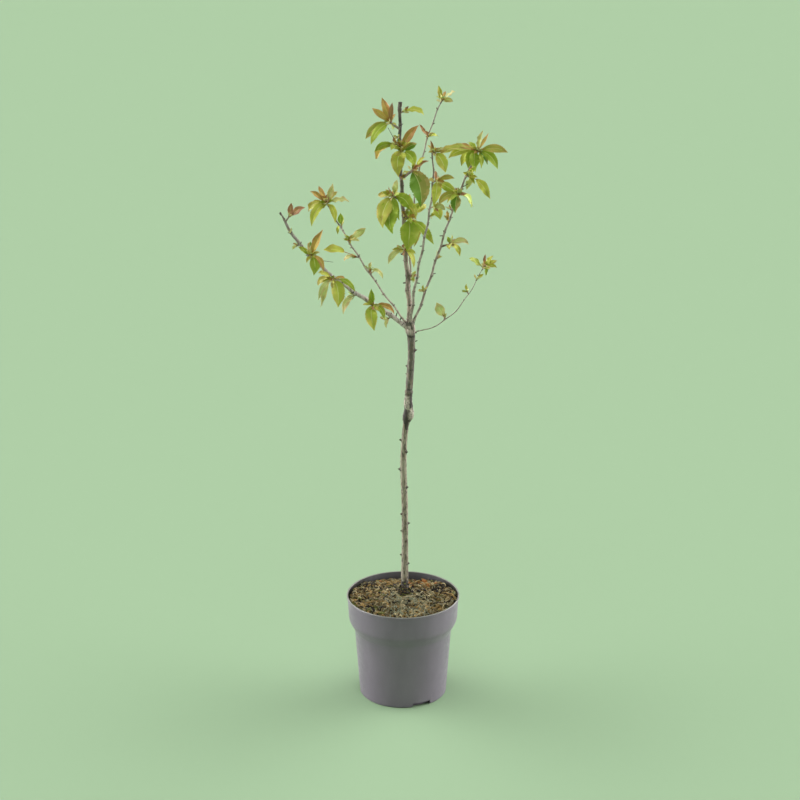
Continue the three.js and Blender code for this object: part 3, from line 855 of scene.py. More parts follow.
@dataclass(frozen=True)
class Bough:
    """Where a bough starts and ends, how it leaves and arrives, and its radius at both ends."""

    name: str
    foot: Triple
    tip: Triple
    leave: Triple
    arrive: Triple
    radii: Pair
    seen: tuple[float, ...]  # how slim it looks beside its solid, how stout at the fork, and how pointed


@dataclass(frozen=True)
class Knot:
    """A bud or knot on the stem: its height, its bearing round the stem from the right, and its size."""

    height: float
    bearing: float
    size: float


@dataclass(frozen=True)
class Stub:
    """A short bare spur: its limb, where on it (a share, or a height on the stem), its bearing and sizes."""

    on: str
    at: float
    bearing: float
    length: float
    radius: float
    back: float = 0.0  # how far it leans back


def beside(bearing: float, middle: float) -> float:
    """How far round the stem a bearing is from another, the short way and in radians."""
    return math.remainder(bearing - middle, math.tau)


def wavering(height: float, bearing: float) -> float:
    """The height at which a place counts for a ring that wavers on its way round the stem."""
    return height + 0.9 * math.sin(bearing + 0.7) + 0.4 * math.sin(3 * bearing)


def bark_lumps(place: Point, size: float) -> float:
    """How far the bark's own lumps and wrinkles, of a size, stand out at a place."""
    return size * (0.62 * noise.noise(Vector(place / 6.5)) + 0.38 * noise.noise(Vector(place / 2.0)))


@dataclass(frozen=True)
class BarkPatch:
    """A patch of the stem's bark: its lowest and highest height, its bearing, and how far round it goes."""

    ends: Pair
    middle_deg: float
    half: float  # from its middle to either side, in radians
    most: float = 1.0

    def shows(self, height: float, bearing: float) -> float:
        """How much of the patch shows at a place.

        Args:
            height: the place's height.
            bearing: its bearing round the stem.

        Returns:
            A share from 0 to 1, with soft edges.
        """
        low, high = self.ends
        aside = abs(beside(bearing, math.radians(self.middle_deg)))
        along = smooth_step((height - low) / 4) * (1 - smooth_step((height - high + 4) / 4))
        return self.most * (along * (1 - smooth_step((aside - self.half) / 0.4)))


def mark_points(piece: Piece, values: dict[str, Sequence[float]]) -> None:
    """Stores numbers on a piece's points for its material to read.

    Args:
        piece: the piece.
        values: the numbers, one for each point, by the name that the material knows.
    """
    for name, numbers in values.items():
        layer = piece.data.attributes.new(name, "FLOAT", "POINT")
        layer.data.foreach_set("value", list(numbers))


def turned_to(way: Point) -> Matrix:
    """The turn that points a form's own up along `way`."""
    return Vector(way).to_track_quat("Z", "X").to_matrix().to_4x4()


def add_twig(
    gathering: Gathering, course: Sequence[Point], radii: Sequence[float], sides: int, slot: int = 0
) -> None:
    """Adds a twig or a stalk.

    Args:
        gathering: where it goes.
        course: the points that it runs through.
        radii: its radius at each.
        sides: how many sides it has.
        slot: its material slot.
    """
    headings = [unit(b - a) for a, b in zip(course, course[1:])]
    headings.append(headings[-1])
    wanted = [DEPTH if abs(heading @ DEPTH) < 0.95 else UPWARD for heading in headings]
    acrosses, overs = zip(*map(frame_along, headings, wanted))
    gathering.add(*tube(course, acrosses, overs, radii, sides), slot)


@dataclass
class Wood:
    """The stem and the boughs, with the fork where they meet, their buds and their cut ends."""

    stations: tuple[Station, ...] = (
        Station(184.3, 2.6, 9.4), Station(190, 2.6, 7.2), Station(206, 2.8, 6.2), Station(290, 3.4, 5.6),
        Station(366, 2.7, 5.3), Station(431, 0.6, 5.4), Station(478, 2.2, 5.0), Station(505, 4.8, 5.2),
        Station(523, 7.4, 8.0), Station(540, 8.4, 7.6), Station(560, 9.6, 6.2), Station(590, 11.4, 5.5),
        Station(630, 13.8, 5.5), Station(664, 13.8, 6.2), Station(682, 12.2, 7.6), Station(694, 11.6, 6.6),
    )
    boughs: tuple[Bough, ...] = (
        Bough("leader", (11.5, 0, 686), (-5, -10, 1080), (-4, -2, 130), (-4, 3, -129), (4.4, 3.0),
              (0.88, 0.1, -0.14)),
        Bough("low_left", (9, 0, 684), (-204, -40, 900), (-82, -15, 64), (40, 15, -102), (3.5, 2.5),
              (1, 0.2, 0.5)),
        Bough("upper_left", (8, 2, 689), (-133, 90, 881), (-56, 30, 60), (38, -29, -62), (2.0, 1.6), (0.84,)),
        Bough("front", (13, -3, 688), (47, -80, 1016), (4, -26, 118), (12, 27, -104), (2.8, 1.5), (0.9,)),
        Bough("back", (12, 3, 688), (63, 45, 1065), (-2, 14, 134), (-52, -15, -114), (2.3, 1.2), (0.88,)),
        Bough("right", (15, -1, 686), (124, 40, 978), (42, 14, 98), (-49, -14, -91), (2.4, 1.8), (0.92,)),
        Bough("low_right", (14, 1, 674), (135, 60, 767), (68, 24, 1), (-27, -22, -48), (1.25, 0.95), (0.72,)),
    )
    knots: tuple[Knot, ...] = (
        Knot(246, 340, 0.8), Knot(262, 190, 0.9), Knot(290, 285, 0.8), Knot(308, 200, 0.7),
        Knot(322, 350, 1.2), Knot(340, 205, 1.2), Knot(362, 80, 1.0), Knot(391, 330, 1.0),
        Knot(424, 190, 1.5), Knot(440, 75, 1.0), Knot(457, 325, 1.2), Knot(478, 185, 1.3),
        Knot(598, 150, 0.9), Knot(614, 185, 1.0), Knot(643, 350, 1.5), Knot(655, 110, 1.1),
    )
    stubs: tuple[Stub, ...] = (
        Stub("stem", 655, 28, 5.5, 0.9), Stub("stem", 673, 8, 3.5, 1.3), Stub("stem", 611, 160, 1.6, 1.1),
        Stub("leader", 0.785, 117, 42, 0.5), Stub("low_left", 0.67, -8, 30, 0.4),
        Stub("low_left", 0.06, 70, 5, 1.2), Stub("low_left", 0.09, 75, 7, 1.1),
        Stub("low_left", 0.42, 105, 5, 1.0), Stub("low_left", 0.965, 130, 9, 0.7),
        Stub("leader", 0.2, 185, 4, 1.3), Stub("leader", 0.33, 185, 5, 1.2),
        Stub("front", 0.24, 0, 5, 0.9, -0.5), Stub("front", 0.45, 185, 4, 0.9),
        Stub("back", 0.5, 175, 4, 0.8, 0.5), Stub("right", 0.12, 70, 9, 0.9),
        Stub("right", 0.3, 10, 5, 0.9, 0.4), Stub("right", 0.52, 185, 5, 1.0),
        Stub("right", 0.8, 30, 11, 0.7), Stub("upper_left", 0.62, 195, 4, 0.8, 0.6),
    )
    graft: Pair = (508, 566)  # the heights between which the bark is rough
    stout_from: float = 565  # above it the stem is stouter than its solid
    callus_height: float = 528
    callus_foot: float = 521
    notch_height: float = 535
    tongue_ends: Pair = (495, 538)
    lower_scar: float = 562.5
    upper_scar: float = 572
    year_scar: float = 608
    fork_scar: float = 669
    root_flare: float = 184
    dark_foot: Pair = (203, 229)  # the heights between which the stem's dark foot fades out
    # The graft's pale callus: above the tongue, and on the bulge at its right
    callus_patches: tuple[BarkPatch, ...] = (
        BarkPatch((535, 562), 238, 0.7), BarkPatch((516, 541), 322, 0.6),
    )
    # Old dark bark: right of the callus, and under the bulge
    dark_patches: tuple[BarkPatch, ...] = (
        BarkPatch((537, 568), 316, 0.3, 0.8), BarkPatch((511, 518), 318, 0.6, 0.9),
    )
    collar_length: float = 0.05
    collar_swell: float = 0.45
    bud_spacing: float = 26
    bare_foot: float = 16  # how far out from the fork a bough has no buds
    ring_spacing: float = 1.6
    fork_ring_spacing: float = 1.5
    fork_foot: float = 668
    fork_stub: float = 34  # how much of each bough is grown into the fork
    fork_knob: Pair = (11, 677)  # how far right and how high the knob on the fork's front is
    # The crotch where the boughs part gets painted shade, centred here
    fork_crotch: Pair = (12, 693)  # how far right and how high the boughs part
    # The boughs that end in a cut, with the radius of the cut wood and its length
    cut_ends: tuple[tuple[str, float, float], ...] = (("leader", 3.4, 7.0), ("low_left", 1.5, 3.0))
    stem_sides: int = 30
    bough_sides: int = 16

    def stem_radius(self, height: float) -> float:
        """The stem's radius at a height, eased from one station to the next.

        Args:
            height: the height.

        Returns:
            The radius.
        """
        above = next((i for i, station in enumerate(self.stations) if station.height >= height), -1)
        if above < 1:
            return (self.stations[-1] if above else self.stations[0]).radius
        low, high = self.stations[above - 1], self.stations[above]
        share = smooth_step((height - low.height) / (high.height - low.height))
        return between(low.radius, high.radius, share)

    def stem(self) -> Limb:
        """The stem as a limb."""
        curve = Through([point(station.lean, 0, station.height) for station in self.stations])
        return Limb(curve, lambda share: self.stem_radius(curve.at(share)[2]))

    def bough(self, sizes: Bough, seen: bool) -> Limb:
        """A bough as a limb.

        Args:
            sizes: the bough's sizes.
            seen: whether it is as slim as it looks, or else as its solid.

        Returns:
            The limb.
        """
        start, end = np.array(sizes.foot, float), np.array(sizes.tip, float)
        curve = Bezier([start, start + np.array(sizes.leave), end + np.array(sizes.arrive), end])

        def thickness(share: float) -> float:
            """The bough's radius, which swells into the fork."""
            collar = 1 + self.collar_swell * (1 - smooth_step(share / self.collar_length))
            return between(*sizes.radii, share) * collar

        buds = math.floor(curve.length() / self.bud_spacing + 0.5)
        return Limb(curve, thickness, buds, *(sizes.seen if seen else ()))

    def limbs(self, seen: bool = False) -> dict[str, Limb]:
        """Every bough as a limb, by name, as slim as it looks or else as its solid."""
        return {sizes.name: self.bough(sizes, seen) for sizes in self.boughs}

    def share_at(self, height: float) -> float:
        """The share of the stem at a height."""
        stem, shares = self.stem(), self.stem().even_shares(1)
        return float(np.interp(height, [stem.course(share)[2] for share in shares], shares))

    def knot_swell(self, height: float, bearing: float, radius: float) -> float:
        """How far the knots raise the stem's bark.

        Args:
            height: the height of the place.
            bearing: its bearing round the stem.
            radius: the stem's radius there.

        Returns:
            The rise.
        """
        raised = 0.0
        for knot in self.knots:
            if abs(height - knot.height) < 12:
                aside = beside(bearing, math.radians(knot.bearing)) * radius
                raised += knot.size * 1.35 * hump(height - knot.height, 2.8) * hump(aside, 2.6)
        return raised

    def graft_swell(self, height: float, bearing: float) -> float:
        """How far the graft stands out: a callus at the right, a notch at the left, and rings above it.

        Args:
            height: the height of the place.
            bearing: its bearing round the stem.

        Returns:
            The rise, or the dip where it is negative.
        """
        callus = 2.4 * hump(height - self.callus_height, 9) * hump(beside(bearing, -0.2), 0.9)
        callus += 2.0 * hump(height - self.callus_foot, 3.5) * hump(beside(bearing, -0.5), 0.6)
        notch = -1.5 * hump(height - self.notch_height, 8) * hump(beside(bearing, math.pi), 0.7)
        level = wavering(height, bearing)
        rings = -0.6 * hump(level - self.upper_scar, 1.0) + 0.6 * hump(level - self.lower_scar - 5, 1.9)
        rings = rings - 0.5 * hump(level - self.lower_scar, 1.0)
        return callus + notch + rings - 0.3 * hump(level - self.year_scar, 0.8)

    def tongue(self, height: float, bearing: float) -> float:
        """How much of the old dark bark shows: a tongue that runs down round the front from the notch.

        Args:
            height: the height of the place.
            bearing: its bearing round the stem.

        Returns:
            A share from 0 to 1.
        """
        low, high = self.tongue_ends
        aside = abs(beside(bearing, math.radians(210 + (high - 1 - height) * 2.4)))
        ends = smooth_step((height - low) / 5) * (1 - smooth_step((height - high) / 4))
        return ends * (1 - smooth_step((aside - 0.3) / 0.7))

    def darkness(self, height: float, bearing: float, knots: float) -> float:
        """How dark the stem's bark is: at its foot, on the graft's old bark and creases, on scars and knots.

        Args:
            height: the height of the place.
            bearing: its bearing round the stem.
            knots: how far the knots stand out there.

        Returns:
            A share from 0 to 1.
        """
        low, high = self.dark_foot
        foot = 1 - smooth_step((height - low) / (high - low))
        level = wavering(height, bearing)
        lower = max(hump(level - self.upper_scar, 1.5), hump(level - self.lower_scar, 1.2))
        upper = max(0.6 * hump(level - self.year_scar, 1.2), hump(level - self.fork_scar, 2.0))
        old = max(self.tongue(height, bearing), *(part.shows(height, bearing) for part in self.dark_patches))
        return max(old, foot * 0.95, max(lower, upper) * 0.85, min(1.0, knots) * 0.85)

    def stem_piece(self) -> Piece:
        """The stem: a fine sweep with its flare, flutes, knots, graft and bark.

        Returns:
            The piece.
        """
        limb = self.stem()
        shares = limb.even_shares(self.ring_spacing)
        heights = [limb.course(share)[2] for share in shares]
        stoutness = [1.03 + 0.08 * smooth_step((height - self.stout_from) / 20) for height in heights]
        radii = [limb.radius(share) * stout for share, stout in zip(shares, stoutness)]
        points, faces, outs = limb.swept(shares, radii, self.stem_sides)
        scion, dark, callus = [], [], []
        low, high = self.graft
        for index, (place, out) in enumerate(zip(points, outs)):
            height, bearing = float(place[2]), math.atan2(out[1], out[0])
            flare = 1.5 * hump(height - self.root_flare, 9) * math.sin(3 * bearing + 0.6)
            flutes = 0.16 * math.sin(4 * bearing + height / 28)
            knots = self.knot_swell(height, bearing, radii[index // self.stem_sides])
            swell = knots + self.graft_swell(height, bearing)
            rough = 0.6 + 1.0 * smooth_step((height - low) / 8) * (1 - smooth_step((height - high) / 8))
            move = flare + flutes + swell - 0.45 * self.tongue(height, bearing) + bark_lumps(place, rough)
            if height > self.stations[0].height + 0.5:
                points[index] = place + out * move
            scion.append(smooth_step((height - low - 8 * math.sin(bearing)) / 12))
            dark.append(self.darkness(height, bearing, knots))
            callus.append(max(part.shows(height, bearing) for part in self.callus_patches))
        gathering = Gathering()
        gathering.add(points, faces)
        finish = Bark("stem_bark", "#8e8874", "#5e5a4e", "#6f6550", "#a8a290", 7, 1.5, 0.4, streaks=0.55)
        piece = gathering.piece("trunk_bark", [finish.material()])
        mark_points(piece, {"tipward": scion, "dark": dark, "callus": callus})
        return piece

    def bough_piece(self, name: str, limb: Limb, finish: Bark) -> Piece:
        """One bough: a fine sweep that swells at each bud.

        Args:
            name: the bough's name.
            limb: its limb.
            finish: its bark.

        Returns:
            The piece.
        """
        shares, length = limb.even_shares(self.ring_spacing), limb.length()
        swells = [1 + 0.16 * hump(limb.past_bud(share) * length, 2.6) for share in shares]
        radii = [limb.radius(share) * swell for share, swell in zip(shares, swells)]
        points, faces, outs = limb.swept(shares, radii, self.bough_sides)
        nodes = [0.42 * hump(limb.past_bud(share) * length, 1.6) for share in shares]
        cuts = [0.7 * hump((1 - share) * length, 3) for share in shares]
        rings = [index // self.bough_sides for index in range(len(points))]
        for index, ring in enumerate(rings):
            points[index] = points[index] + outs[index] * bark_lumps(points[index], 0.17 * radii[ring])
        gathering = Gathering()
        gathering.add(points, faces)
        piece = gathering.piece(f"{name}_bough_bark", [finish.material()])
        tipward = [shares[ring] for ring in rings]
        dark = [max(nodes[ring], cuts[ring]) for ring in rings]
        mark_points(piece, {"tipward": tipward, "dark": dark, "callus": [0.0] * len(points)})
        return piece

    def fork_piece(self, limbs: dict[str, Limb]) -> Piece:
        """The fork: the stem's head and the feet of the boughs, grown into one another.

        Their stubs are joined, remeshed as one skin and smoothed, which rounds the crotches. Each stub ends a
        little thinner than its limb, so that the limb comes out of it.

        Args:
            limbs: the boughs, by name.

        Returns:
            The piece.
        """
        stem, gathering = self.stem(), Gathering()
        shares = stem.even_shares(self.fork_ring_spacing)
        head = [share for share in shares if stem.course(share)[2] > self.fork_foot]
        radii = []
        for index, share in enumerate(head):
            swell, end = smooth_step(index / 4), smooth_step((index - len(head) + 5) / 5)
            radii.append(stem.radius(share) * (1.02 + 0.1 * swell) * (1 - 0.5 * end))
        gathering.add(*stem.swept(head, radii, self.bough_sides)[:2])
        for limb in limbs.values():
            shares = limb.even_shares(self.fork_ring_spacing, self.fork_stub / limb.length())
            thinner = [between(1.07, 0.9, index / (len(shares) - 1)) for index in range(len(shares))]
            radii = [limb.radius(share) * part for share, part in zip(shares, thinner)]
            gathering.add(*limb.swept(shares, radii, self.bough_sides)[:2])
        finish = Bark("fork_bark", "#646053", "#aaa091", "#766b5a", "#bdb6a8")
        piece = gathering.piece("fork_collar", [finish.material()])
        modify(piece, "REMESH", mode="VOXEL", voxel_size=0.5 * MM)
        modify(piece, "SMOOTH", factor=0.5, iterations=5)
        mesh = piece.data
        normals = [vertex.normal.copy() for vertex in mesh.vertices]
        scar = self.fork_scar + 0.5
        right, high = self.fork_knob
        for vertex, normal in zip(mesh.vertices, normals):
            place = np.array(vertex.co) / MM
            knob = 1.3 * hump(place[2] - high, 4) * hump(place[0] - right, 5) * (place[1] < 0)
            crease = 0.8 * hump(place[2] - scar, 1.6)
            vertex.co += normal * (bark_lumps(place, 0.9) + knob - crease) * MM
        shade(piece, 60)
        tipward, dark = [], []
        right, high = self.fork_crotch
        for vertex in mesh.vertices:
            height = vertex.co.z / MM
            near = math.hypot(vertex.co.x / MM - right, vertex.co.y / MM)
            # Painted shade in the crotch between the boughs
            crotch = 0.9 * hump(height - high, 4) * (1 - smooth_step((near - 6) / 6))
            tipward.append(smooth_step((height - 670) / 12))
            dark.append(max(crotch, 0.95 * hump(height - scar, 2.2)))
        mark_points(piece, {"tipward": tipward, "dark": dark, "callus": [0.0] * len(dark)})
        return piece

    @staticmethod
    def bud_form() -> Form:
        """A bud, one unit long: a sphere drawn out to a point.

        Returns:
            Its form.
        """

        def model() -> Piece:
            """Models the bud with its foot at the origin, pointing up.

            Returns:
                The bud.
            """
            bpy.ops.mesh.primitive_uv_sphere_add(segments=8, ring_count=7, radius=0.5, location=(0, 0, 0.42))
            bud = bpy.context.object
            settle(bud)
            bpy.ops.object.mode_set(mode="EDIT")
            select_points(bud, lambda place: place.z > 0.5)
            bpy.ops.transform.resize(value=(0.62, 0.62, 1.0), center_override=(0, 0, 0.5))
            select_points(bud, lambda place: place.z > 0.85)
            bpy.ops.transform.translate(value=(0, 0, 0.12))
            bpy.ops.object.mode_set(mode="OBJECT")
            return bud

        return Form.modelled(model)

    def buds_piece(self, limbs: dict[str, Limb]) -> Piece:
        """The buds: one at every turn of a bough, and one on every knot of the stem.

        Args:
            limbs: the boughs, by name.

        Returns:
            The piece.
        """
        form, dice, gathering = self.bud_form(), Dice(41), Gathering()
        for name, limb in limbs.items():
            for bud in range(limb.buds):
                share = (bud + 0.5) / limb.buds
                if share * limb.length() < self.bare_foot:
                    continue
                heading = limb.heading(share)
                across, over = frame_along(heading, DEPTH)
                side = 1 if bud % 2 == 0 else -1
                turn = dice.pick(-1.1, 1.1)
                out = across * side * math.cos(turn) + over * math.sin(turn)
                place = limb.course(share) + out * limb.radius(share) * 0.85
                length = dice.pick(2.4, 3.8) * (0.75 if name == "low_right" else 1)
                size = (length * 0.55, length * 0.5, length)
                gathering.copy(form, place, turned_to(unit(heading * 0.75 + out)), size, bud % 3 // 2)
        stem = self.stem()
        for knot in self.knots:
            share = self.share_at(knot.height)
            out = point(*around(1, math.radians(knot.bearing)), 0)
            place = stem.course(share) + out * (stem.radius(share) + knot.size * 0.7)
            length = 2.4 + knot.size * 1.1
            size = (length * 0.95, length * 0.95, length * 0.85)
            gathering.copy(form, place, turned_to(unit(out + UPWARD * 0.35)), size)
        dark, pale = MattPlant("#473829"), MattPlant("#6b5742")
        finishes = [dark.material("bud_scales"), pale.material("bud_scales_pale")]
        return gathering.piece("bark_buds", finishes, 60)

    def stubs_piece(self, limbs: dict[str, Limb]) -> Piece:
        """The pruned ends and the short bare spurs, dark and cracked.

        Args:
            limbs: the boughs, by name.

        Returns:
            The piece.
        """
        gathering = Gathering()
        for name, radius, length in self.cut_ends:
            end, heading = limbs[name].course(1), limbs[name].heading(1)
            add_twig(gathering, [end - heading * length, end], [radius * 0.95, radius], 10)
        stem = self.stem()
        for stub in self.stubs:
            limb = limbs.get(stub.on, stem)
            at = self.share_at(stub.at) if limb is stem else stub.at
            foot = limb.course(at)
            way = unit(on_bearing(stub.bearing, 1) + DEPTH * stub.back)
            end = foot + way * (limb.radius(at) + stub.length)
            radii = [stub.radius * 1.3, stub.radius, stub.radius * 0.8]
            add_twig(gathering, [foot, (foot + end) / 2, end], radii, 7)
        return gathering.piece("bare_spurs", [MattPlant("#5a5248").material("cut_wood")], 35)

    def build(self) -> list[Piece]:
        """Builds the wood and lets it stand for the frame's limbs.

        Returns:
            Its pieces.
        """
        limbs = self.limbs(seen=True)
        pale = Bark("bough_bark", "#9b9484", "#787264", "#6b604f", "#b5ae9e", 7, 1.3, 0.2)
        leader = Bark("leader_bark", "#a59484", "#3c3a34", "#5c5346", "#a8a18f", 8, 1.4, 0.24, aged=0.7)
        low = Bark("low_bough_bark", "#c4bbb0", "#716b5f", "#877c6c", "#cbc4b8", 7, 1.3, 0.2)
        thin = Bark("thin_bough_bark", "#a09a88", "#8c8678", "#6f6552", "#bab4a4", 6, 1.1, 0.14)
        finishes = {"leader": leader, "low_left": low, "right": pale, "front": pale}
        trunk = self.stem_piece()
        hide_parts("trunk")
        pieces = [trunk]
        for name, limb in limbs.items():
            piece = self.bough_piece(name, limb, finishes.get(name, thin))
            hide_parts(f"{name}_bough")
            pieces.append(piece)
        pieces += [self.fork_piece(limbs), self.buds_piece(limbs), self.stubs_piece(limbs)]
        return pieces


# The foliage


class Kind(Enum):
    """A leaf's kind. Its colour goes with its age: young ones are coppery and folded, grown ones green."""

    LIME = "lime"
    GREEN = "green"
    DEEP = "deep"
    BRONZE = "bronze"
    COPPER = "copper"
    ROSE = "rose"
    PALE = "pale"


LIME, GREEN, DEEP, BRONZE, COPPER, ROSE, PALE = Kind


@dataclass(frozen=True)
class KindLook:
    """A kind's breadth and fold, how far copper has run in from its edge (from 0 to 1), and its blade."""

    breadth: float
    fold: float
    flush: float
    blade: LeafBlade


LOOKS = {
    LIME: KindLook(0.42, 0.32, 0.0, LeafBlade("#b3be46", "#bcab58", "#c0c880", "#cdd286")),
    GREEN: KindLook(0.44, 0.28, 0.0, LeafBlade("#92aa30", "#a9ae48", "#b0be70", "#c0c972")),
    # DEEP leaves paint the light and shade across a folded blade: one half in the heart's dark green as
    # shade, the other in the edge's bronze as lit
    DEEP: KindLook(0.42, 0.2, 0.0, LeafBlade("#618622", "#aa9a58", "#9db06c", "#a6b566")),
    BRONZE: KindLook(0.38, 0.38, 0.08, LeafBlade("#a0aa42", "#b69a52", "#bdb878", "#c9c07a")),
    COPPER: KindLook(0.34, 0.5, 0.12, LeafBlade("#bba74e", "#b5824c", "#c4ae74", "#cdb474")),
    ROSE: KindLook(0.3, 0.55, 0.2, LeafBlade("#a3854c", "#a26e52", "#b99d7a", "#c0a070")),
    PALE: KindLook(0.42, 0.32, 0.06, LeafBlade("#bdc878", "#c8ac78", "#c6ce90", "#d0d69a")),
}


@dataclass(frozen=True)
class Listed:
    """A leaf of a spur: the bearing of its tip, the tip's reach from the bough, and its kind."""

    bearing: float
    reach: float
    kind: Kind
    face_on: bool = False
    stalk: float = 0.13
    broad: float = 1.0


@dataclass(frozen=True)
class Spur:
    """A spur: how far along its bough it is, its shoot (bearing, length, way to the front), its leaves."""

    at: float
    shoot: Triple
    leaves: tuple[Listed, ...]


def spur(at: float, shoot: Triple, *leaves: tuple) -> Spur:
    """A spur from plain values, where a leaf is what `Listed` holds, in its order."""
    return Spur(at, shoot, tuple(Listed(*leaf) for leaf in leaves))


@dataclass
class Leaf:
    """A leaf in place: its root and tip, the ways it arches and faces, its kind and its proportions."""

    root: Point
    tip: Point
    lift: Point
    facing: Point
    kind: Kind
    breadth: float
    fold: float
    stalk: float = 0.2
    arch: float = 0.14
    full: float = 0.82  # the real blades are oval, where the solids are straight-sided

    def reach(self) -> float:
        """How far the tip is from the root."""
        return float(np.linalg.norm(self.tip - self.root))

    def midrib(self) -> Bezier:
        """The line that the leaf follows: it arches from its root on the shoot over to its tip."""
        bend = self.root + (self.tip - self.root) * 0.45 + self.lift * self.arch * self.reach()
        return Bezier([self.root, bend, self.tip])

    def on_blade(self, along: float) -> float:
        """The share of the midrib that is a share `along` the blade, past the stalk."""
        return self.stalk + (1 - self.stalk) * along

    def blade_length(self) -> float:
        """The length of the blade without its stalk."""
        return (1 - self.stalk) * self.reach()

    def turn_out(self, listed: Listed, dice: Dice) -> None:
        """Turns the leaf's upper side to the viewer, and lets it arch over, as the photograph's leaves do.

        Args:
            listed: what the spur says of the leaf.
            dice: its random numbers.
        """
        stray = dice.stray() * point(0.4, 0.7, 0.7)
        self.facing = UPWARD * dice.pick(0.3, 0.9) + TOWARD_VIEWER + stray
        if listed.face_on:
            self.facing = TOWARD_VIEWER + stray * 0.5
            self.full = 1.02
            self.fold *= 0.6
        self.full *= listed.broad
        self.stalk = listed.stalk
        right = math.cos(math.radians(listed.bearing))
        upright = max(0.0, math.sin(math.radians(listed.bearing)))
        self.arch = min(self.arch + dice.pick(0.12, 0.36), 15 / listed.reach) * (1 - 0.75 * upright)
        self.lift = UPWARD * 0.85 + point(math.copysign(0.55, right), 0, 0) + TOWARD_VIEWER * 0.2


